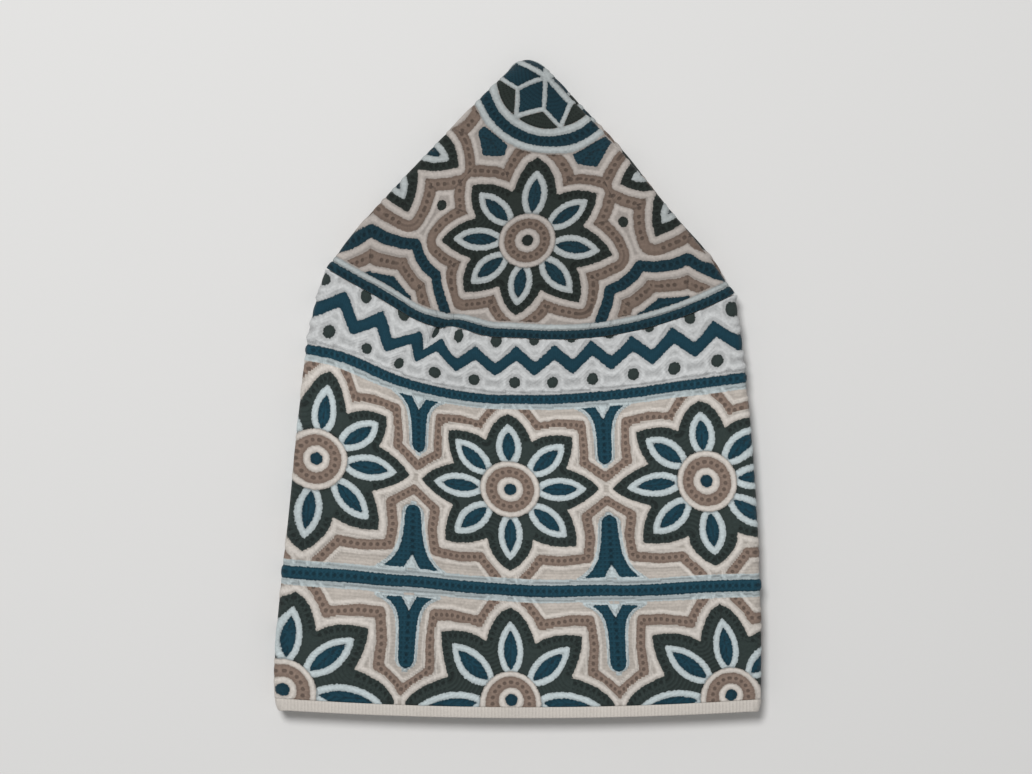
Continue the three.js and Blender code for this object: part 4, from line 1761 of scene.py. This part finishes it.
@dataclass(frozen=True)
class ClothShell:
    """Builds a closed cloth mesh on both sides of a folded grid.

    The inner side has every inner_step-th loop of the grid. relief_room is how far the outer
    side is drawn in where it faces down, in mm, so that its relief stays above the floor.
    """

    thickness: float
    inner_step: int
    relief_room: float

    def build(
        self, name: str, grid: FoldedGrid, pattern: Pattern, tip: bool
    ) -> bpy.types.Object:
        """Make the mesh object.

        Args:
            name: The piece's name.
            grid: The middle surface, in mm from the tip.
            pattern: The embroidery on it.
            tip: Whether the first loop closes in a point.

        Returns:
            The new object, in the scene's collection.
        """
        normal = grid.normals()
        rows, columns = grid.points.shape[:2]
        lift = pattern.relief - self.relief_room * np.clip(-normal[:, :, 2], 0.0, 1.0)
        outer = grid.points + normal * (self.thickness / 2 + lift)[:, :, None]
        inner_rows = np.unique(np.append(np.arange(0, rows, self.inner_step), rows - 1))
        inner = (grid.points - normal * self.thickness / 2)[inner_rows]
        vertices = np.concatenate([outer.reshape(-1, 3), inner.reshape(-1, 3)])
        faces = [self._quads(0, rows, columns, False)]
        start = rows * columns
        faces.append(self._quads(start, len(inner_rows), columns, True))
        i = np.arange(columns)
        j = (i + 1) % columns
        last_out = (rows - 1) * columns
        last_in = start + (len(inner_rows) - 1) * columns
        faces.append(np.stack([last_out + i, last_in + i, last_in + j, last_out + j], axis=1))
        triangles = np.empty((0, 3), int)
        if tip:
            poles = np.tile(grid.points[0].mean(axis=0), (2, 1))
            poles[:, 1] = np.array([0.5, -0.5]) * self.thickness - TIP_SETBACK
            pole = len(vertices)
            vertices = np.concatenate([vertices, poles])
            triangles = np.concatenate([
                np.stack([np.full(columns, pole), i, j], axis=1),
                np.stack([np.full(columns, pole + 1), start + j, start + i], axis=1),
            ])
        else:
            faces.append(np.stack([i, j, start + j, start + i], axis=1))
        vertices[:, 0] += ORIGIN_SHIFT[0]
        vertices[:, 1] += ORIGIN_SHIFT[1]
        vertices[:, 2] = np.maximum(vertices[:, 2], 0.0)
        mesh = self._mesh(name, vertices * MM, np.concatenate(faces), triangles)
        self._attributes(mesh, pattern, inner_rows, len(vertices))
        piece = bpy.data.objects.new(name, mesh)
        bpy.context.scene.collection.objects.link(piece)
        return piece

    @staticmethod
    def _quads(start: int, rows: int, columns: int, turned: bool) -> np.ndarray:
        """The quads between the loops of a grid.

        Args:
            start: The number of its first vertex.
            rows: How many loops it has.
            columns: How many vertices a loop has.
            turned: Whether the quads face the other way.

        Returns:
            Four corners for each quad.
        """
        j, i = np.meshgrid(np.arange(rows - 1), np.arange(columns), indexing="ij")
        a = start + j * columns + i
        b = start + (j + 1) * columns + i
        c = start + (j + 1) * columns + (i + 1) % columns
        d = start + j * columns + (i + 1) % columns
        order = (a, d, c, b) if turned else (a, b, c, d)
        return np.stack([corner.ravel() for corner in order], axis=1)

    @staticmethod
    def _mesh(
        name: str, vertices: np.ndarray, quads: np.ndarray, triangles: np.ndarray
    ) -> bpy.types.Mesh:
        """A smooth-shaded mesh from arrays of corners.

        Args:
            name: The mesh's name.
            vertices: Places in metres.
            quads: Four corners for each quad.
            triangles: Three corners for each triangle.

        Returns:
            The mesh.
        """
        mesh = bpy.data.meshes.new(name)
        mesh.vertices.add(len(vertices))
        mesh.vertices.foreach_set("co", vertices.ravel())
        corners = np.concatenate([quads.ravel(), triangles.ravel()])
        totals = np.concatenate([np.full(len(quads), 4), np.full(len(triangles), 3)])
        starts = np.concatenate([[0], np.cumsum(totals)[:-1]])
        mesh.loops.add(len(corners))
        mesh.loops.foreach_set("vertex_index", corners.astype(np.int32))
        mesh.polygons.add(len(totals))
        mesh.polygons.foreach_set("loop_start", starts.astype(np.int32))
        mesh.polygons.foreach_set("loop_total", totals.astype(np.int32))
        mesh.update(calc_edges=True)
        mesh.validate()
        mesh.shade_smooth()
        return mesh

    @staticmethod
    def _attributes(
        mesh: bpy.types.Mesh, pattern: Pattern, inner_rows: np.ndarray, count: int
    ) -> None:
        """Store the pattern on the mesh for the material to read.

        Args:
            mesh: The mesh.
            pattern: The embroidery.
            inner_rows: The rows that the inner side has.
            count: How many vertices the mesh has.
        """
        def laid(value: np.ndarray, inside: float | None) -> np.ndarray:
            """A field of the grid as one value for each vertex.

            Args:
                value: The field.
                inside: The value all over the inner side, or None for the field's own there.

            Returns:
                The values in the order of the vertices.
            """
            back = value[inner_rows].ravel()
            if inside is not None:
                back = np.full_like(back, inside)
            both = np.concatenate([value.ravel(), back])
            return np.concatenate([both, np.full(count - len(both), both[0])])

        # How deep each point lies below its surroundings, which the material turns into painted
        # shade in valleys and painted highlight on crests
        deep = hollows(pattern.relief)
        groups = {
            "fields": ((pattern.brown, FAR), (pattern.green, FAR), (pattern.blue, FAR)),
            "run": ((pattern.along, None), (pattern.across, None), (pattern.white, FAR)),
            "ground": ((pattern.cord, 0.0), (pattern.plain, None), (deep, None)),
        }
        for name, parts in groups.items():
            layer = mesh.attributes.new(name, "FLOAT_VECTOR", "POINT")
            values = np.stack([laid(value, inside) for value, inside in parts], axis=1)
            layer.data.foreach_set("vector", values.ravel().astype(np.float32))


@dataclass
class Crown:
    """The cap's round top, a disc folded in quarters.

    Its loops lie at tip_places of the section table and then at even steps to its end.
    """

    tip_places: tuple[float, ...] = (0.3, 0.5, 0.75, 1.0, 1.33, 1.67, 2.0, 2.25, 2.5, 2.75)
    even_from: float = 3.0
    even_rows: int = 170
    spacing: LoopSpacing = LoopSpacing(layer_1=270)
    shell: ClothShell = ClothShell(CLOTH, inner_step=10, relief_room=0.3)
    finish: EmbroideredCloth = EmbroideredCloth("crown embroidery", CROWN_COLOURS)

    def build(self) -> bpy.types.Object:
        """Make the crown, dress it and let it stand for its solid.

        Returns:
            The crown.
        """
        form = FoldedForm(CROWN_SECTIONS, CROWN_DROP, 0.0)
        even = np.linspace(self.even_from, len(CROWN_SECTIONS) - 1, self.even_rows)
        grid = form.grid(np.concatenate([self.tip_places, even]), self.spacing)
        pattern = CrownEmbroidery().work(grid)
        piece = self.shell.build("crown_cloth", grid, pattern, tip=True)
        piece.data.materials.append(self.finish.material())
        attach(piece, ROOT)
        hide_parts("crown")
        return piece


@dataclass
class SideBand:
    """The cap's tall side, a tube folded twice.

    Its first loops, about seam_rows of them, are drawn up to close the seam under the crown.
    """

    rows: int = 205
    seam_rows: float = 6.0
    fine_places: int = 701
    spacing: LoopSpacing = LoopSpacing()
    shell: ClothShell = ClothShell(CLOTH, inner_step=12, relief_room=0.3)
    finish: EmbroideredCloth = EmbroideredCloth("band embroidery")

    def build(self) -> bpy.types.Object:
        """Make the band, dress it and let it stand for its solid.

        Returns:
            The band.
        """
        form = FoldedForm(SIDE_SECTIONS, SIDE_HEIGHT, CROWN_DROP + SEAM_GAP)
        grid = form.grid(self._even_places(), self.spacing)
        pattern = BandEmbroidery().work(grid)
        rows = np.arange(self.rows)[:, None]
        grid.points[:, :, 1] += (SEAM_GAP - SEAM_TOUCH) * np.exp(-rows / self.seam_rows)
        piece = self.shell.build("band_cloth", grid, pattern, tip=False)
        piece.data.materials.append(self.finish.material())
        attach(piece, ROOT)
        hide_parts("side_band")
        return piece

    def _even_places(self) -> np.ndarray:
        """Places of the table that are evenly far apart down the band's middle.

        Returns:
            A row number for each loop.
        """
        fine = np.linspace(0.0, HEM_FROM, self.fine_places)
        down = row_at(SIDE_SECTIONS, fine)[:, MIDDLE_DOWN]
        return np.interp(np.linspace(down[0], down[-1], self.rows), down, fine)


@dataclass
class HemEdge:
    """The narrow cream binding at the foot of the band.

    run_round is the run of its ribs once round the edge, in pattern units, and fullness is how
    far it swells in its middle, in mm.
    """

    rows: int = 9
    run_round: float = 1980.0
    fullness: float = 0.12
    spacing: LoopSpacing = LoopSpacing()
    shell: ClothShell = ClothShell(HEM_CLOTH, inner_step=4, relief_room=0.12)
    finish: RibbedBinding = RibbedBinding("hem thread")

    def build(self) -> bpy.types.Object:
        """Make the hem, dress it and let it stand for its solid.

        Returns:
            The hem.
        """
        form = FoldedForm(SIDE_SECTIONS, SIDE_HEIGHT, CROWN_DROP + SEAM_GAP + SEAM_TOUCH)
        places = np.linspace(HEM_FROM, len(SIDE_SECTIONS) - 1, self.rows)
        grid = form.grid(places, self.spacing)
        across, down = grid.pattern_places()
        along = grid.carried_round(across, self.run_round)
        far, none = np.full_like(along, FAR), np.zeros_like(along)
        edge = np.linspace(-1, 1, self.rows)[:, None] + none
        relief = self.fullness * np.sqrt(np.clip(1 - edge ** 2, 0, 1))
        pattern = Pattern(far, far, far, far, along, down, none, none, relief)
        piece = self.shell.build("hem_binding", grid, pattern, tip=False)
        piece.data.materials.append(self.finish.material())
        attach(piece, ROOT)
        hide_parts("hem_edge")
        return piece


@dataclass
class Studio:
    """Floor, lights and camera, in metres. framed_width is what the frame holds at top_height."""

    camera_height: float = 0.72
    framed_width: float = 0.30012
    top_height: float = 0.0095
    aim: tuple[float, float] = (-0.00133, 0.00043)
    sensor_mm: float = 36.0
    floor_half: float = 3.0
    floor_drop: float = 0.00005
    floor_colour: tuple[float, float, float] = (0.78, 0.775, 0.765)
    floor_roughness: float = 0.9
    floor_specular: float = 0.1
    sky_strength: float = 0.30
    lamp_size: float = 0.40
    lamp_energy: float = 11.7
    lamp_place: tuple[float, float, float] = (-0.24, 0.44, 1.22)

    def build(self) -> None:
        """Make everything that isn't the cap."""
        self._floor()
        self._lights()
        self._camera()

    def _floor(self) -> None:
        """A plain pale floor."""
        size = self.floor_half
        mesh = bpy.data.meshes.new("floor")
        corners = [(-size, -size, 0), (size, -size, 0), (size, size, 0), (-size, size, 0)]
        mesh.from_pydata(corners, [], [(0, 1, 2, 3)])
        floor = bpy.data.objects.new("floor", mesh)
        bpy.context.scene.collection.objects.link(floor)
        n = Nodes("pale floor")
        n.shader.inputs["Base Color"].default_value = (*self.floor_colour, 1.0)
        n.shine(self.floor_roughness, self.floor_specular)
        mesh.materials.append(n.material)
        floor.location.z = -self.floor_drop

    def _lights(self) -> None:
        """A soft round lamp beyond the cap's tip and to its left, and an even sky."""
        world = bpy.data.worlds.new("sky")
        world.use_nodes = True
        back = world.node_tree.nodes["Background"]
        back.inputs["Color"].default_value = (1.0, 1.0, 1.0, 1.0)
        back.inputs["Strength"].default_value = self.sky_strength
        bpy.context.scene.world = world
        light = bpy.data.lights.new("window", "AREA")
        light.shape = "DISK"
        light.size = self.lamp_size
        light.energy = self.lamp_energy
        lamp = bpy.data.objects.new("window", light)
        lamp.location = self.lamp_place
        x, y, z = lamp.location
        lamp.rotation_euler = (
            math.atan2(math.hypot(x, y), z), 0.0, math.atan2(-y, -x) - math.pi / 2
        )
        bpy.context.scene.collection.objects.link(lamp)

    def _camera(self) -> None:
        """A camera straight above, framed as the photo is."""
        camera = bpy.data.cameras.new("camera")
        distance = self.camera_height - self.top_height
        camera.sensor_width = self.sensor_mm
        camera.lens = self.sensor_mm * distance / self.framed_width
        rig = bpy.data.objects.new("camera", camera)
        rig.location = (*self.aim, self.camera_height)
        bpy.context.scene.collection.objects.link(rig)
        bpy.context.scene.camera = rig


def main() -> None:
    """Build the cap over its solids."""
    logging.basicConfig(level=logging.INFO, format="%(name)s: %(message)s")
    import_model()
    scene = bpy.context.scene
    scene.view_settings.view_transform = "Standard"
    Studio().build()
    pieces = [part.build() for part in (Crown(), SideBand(), HemEdge())]
    for piece in pieces:
        LOG.info("%s has %d faces", piece.name, len(piece.data.polygons))


if __name__ == "__main__":
    main()
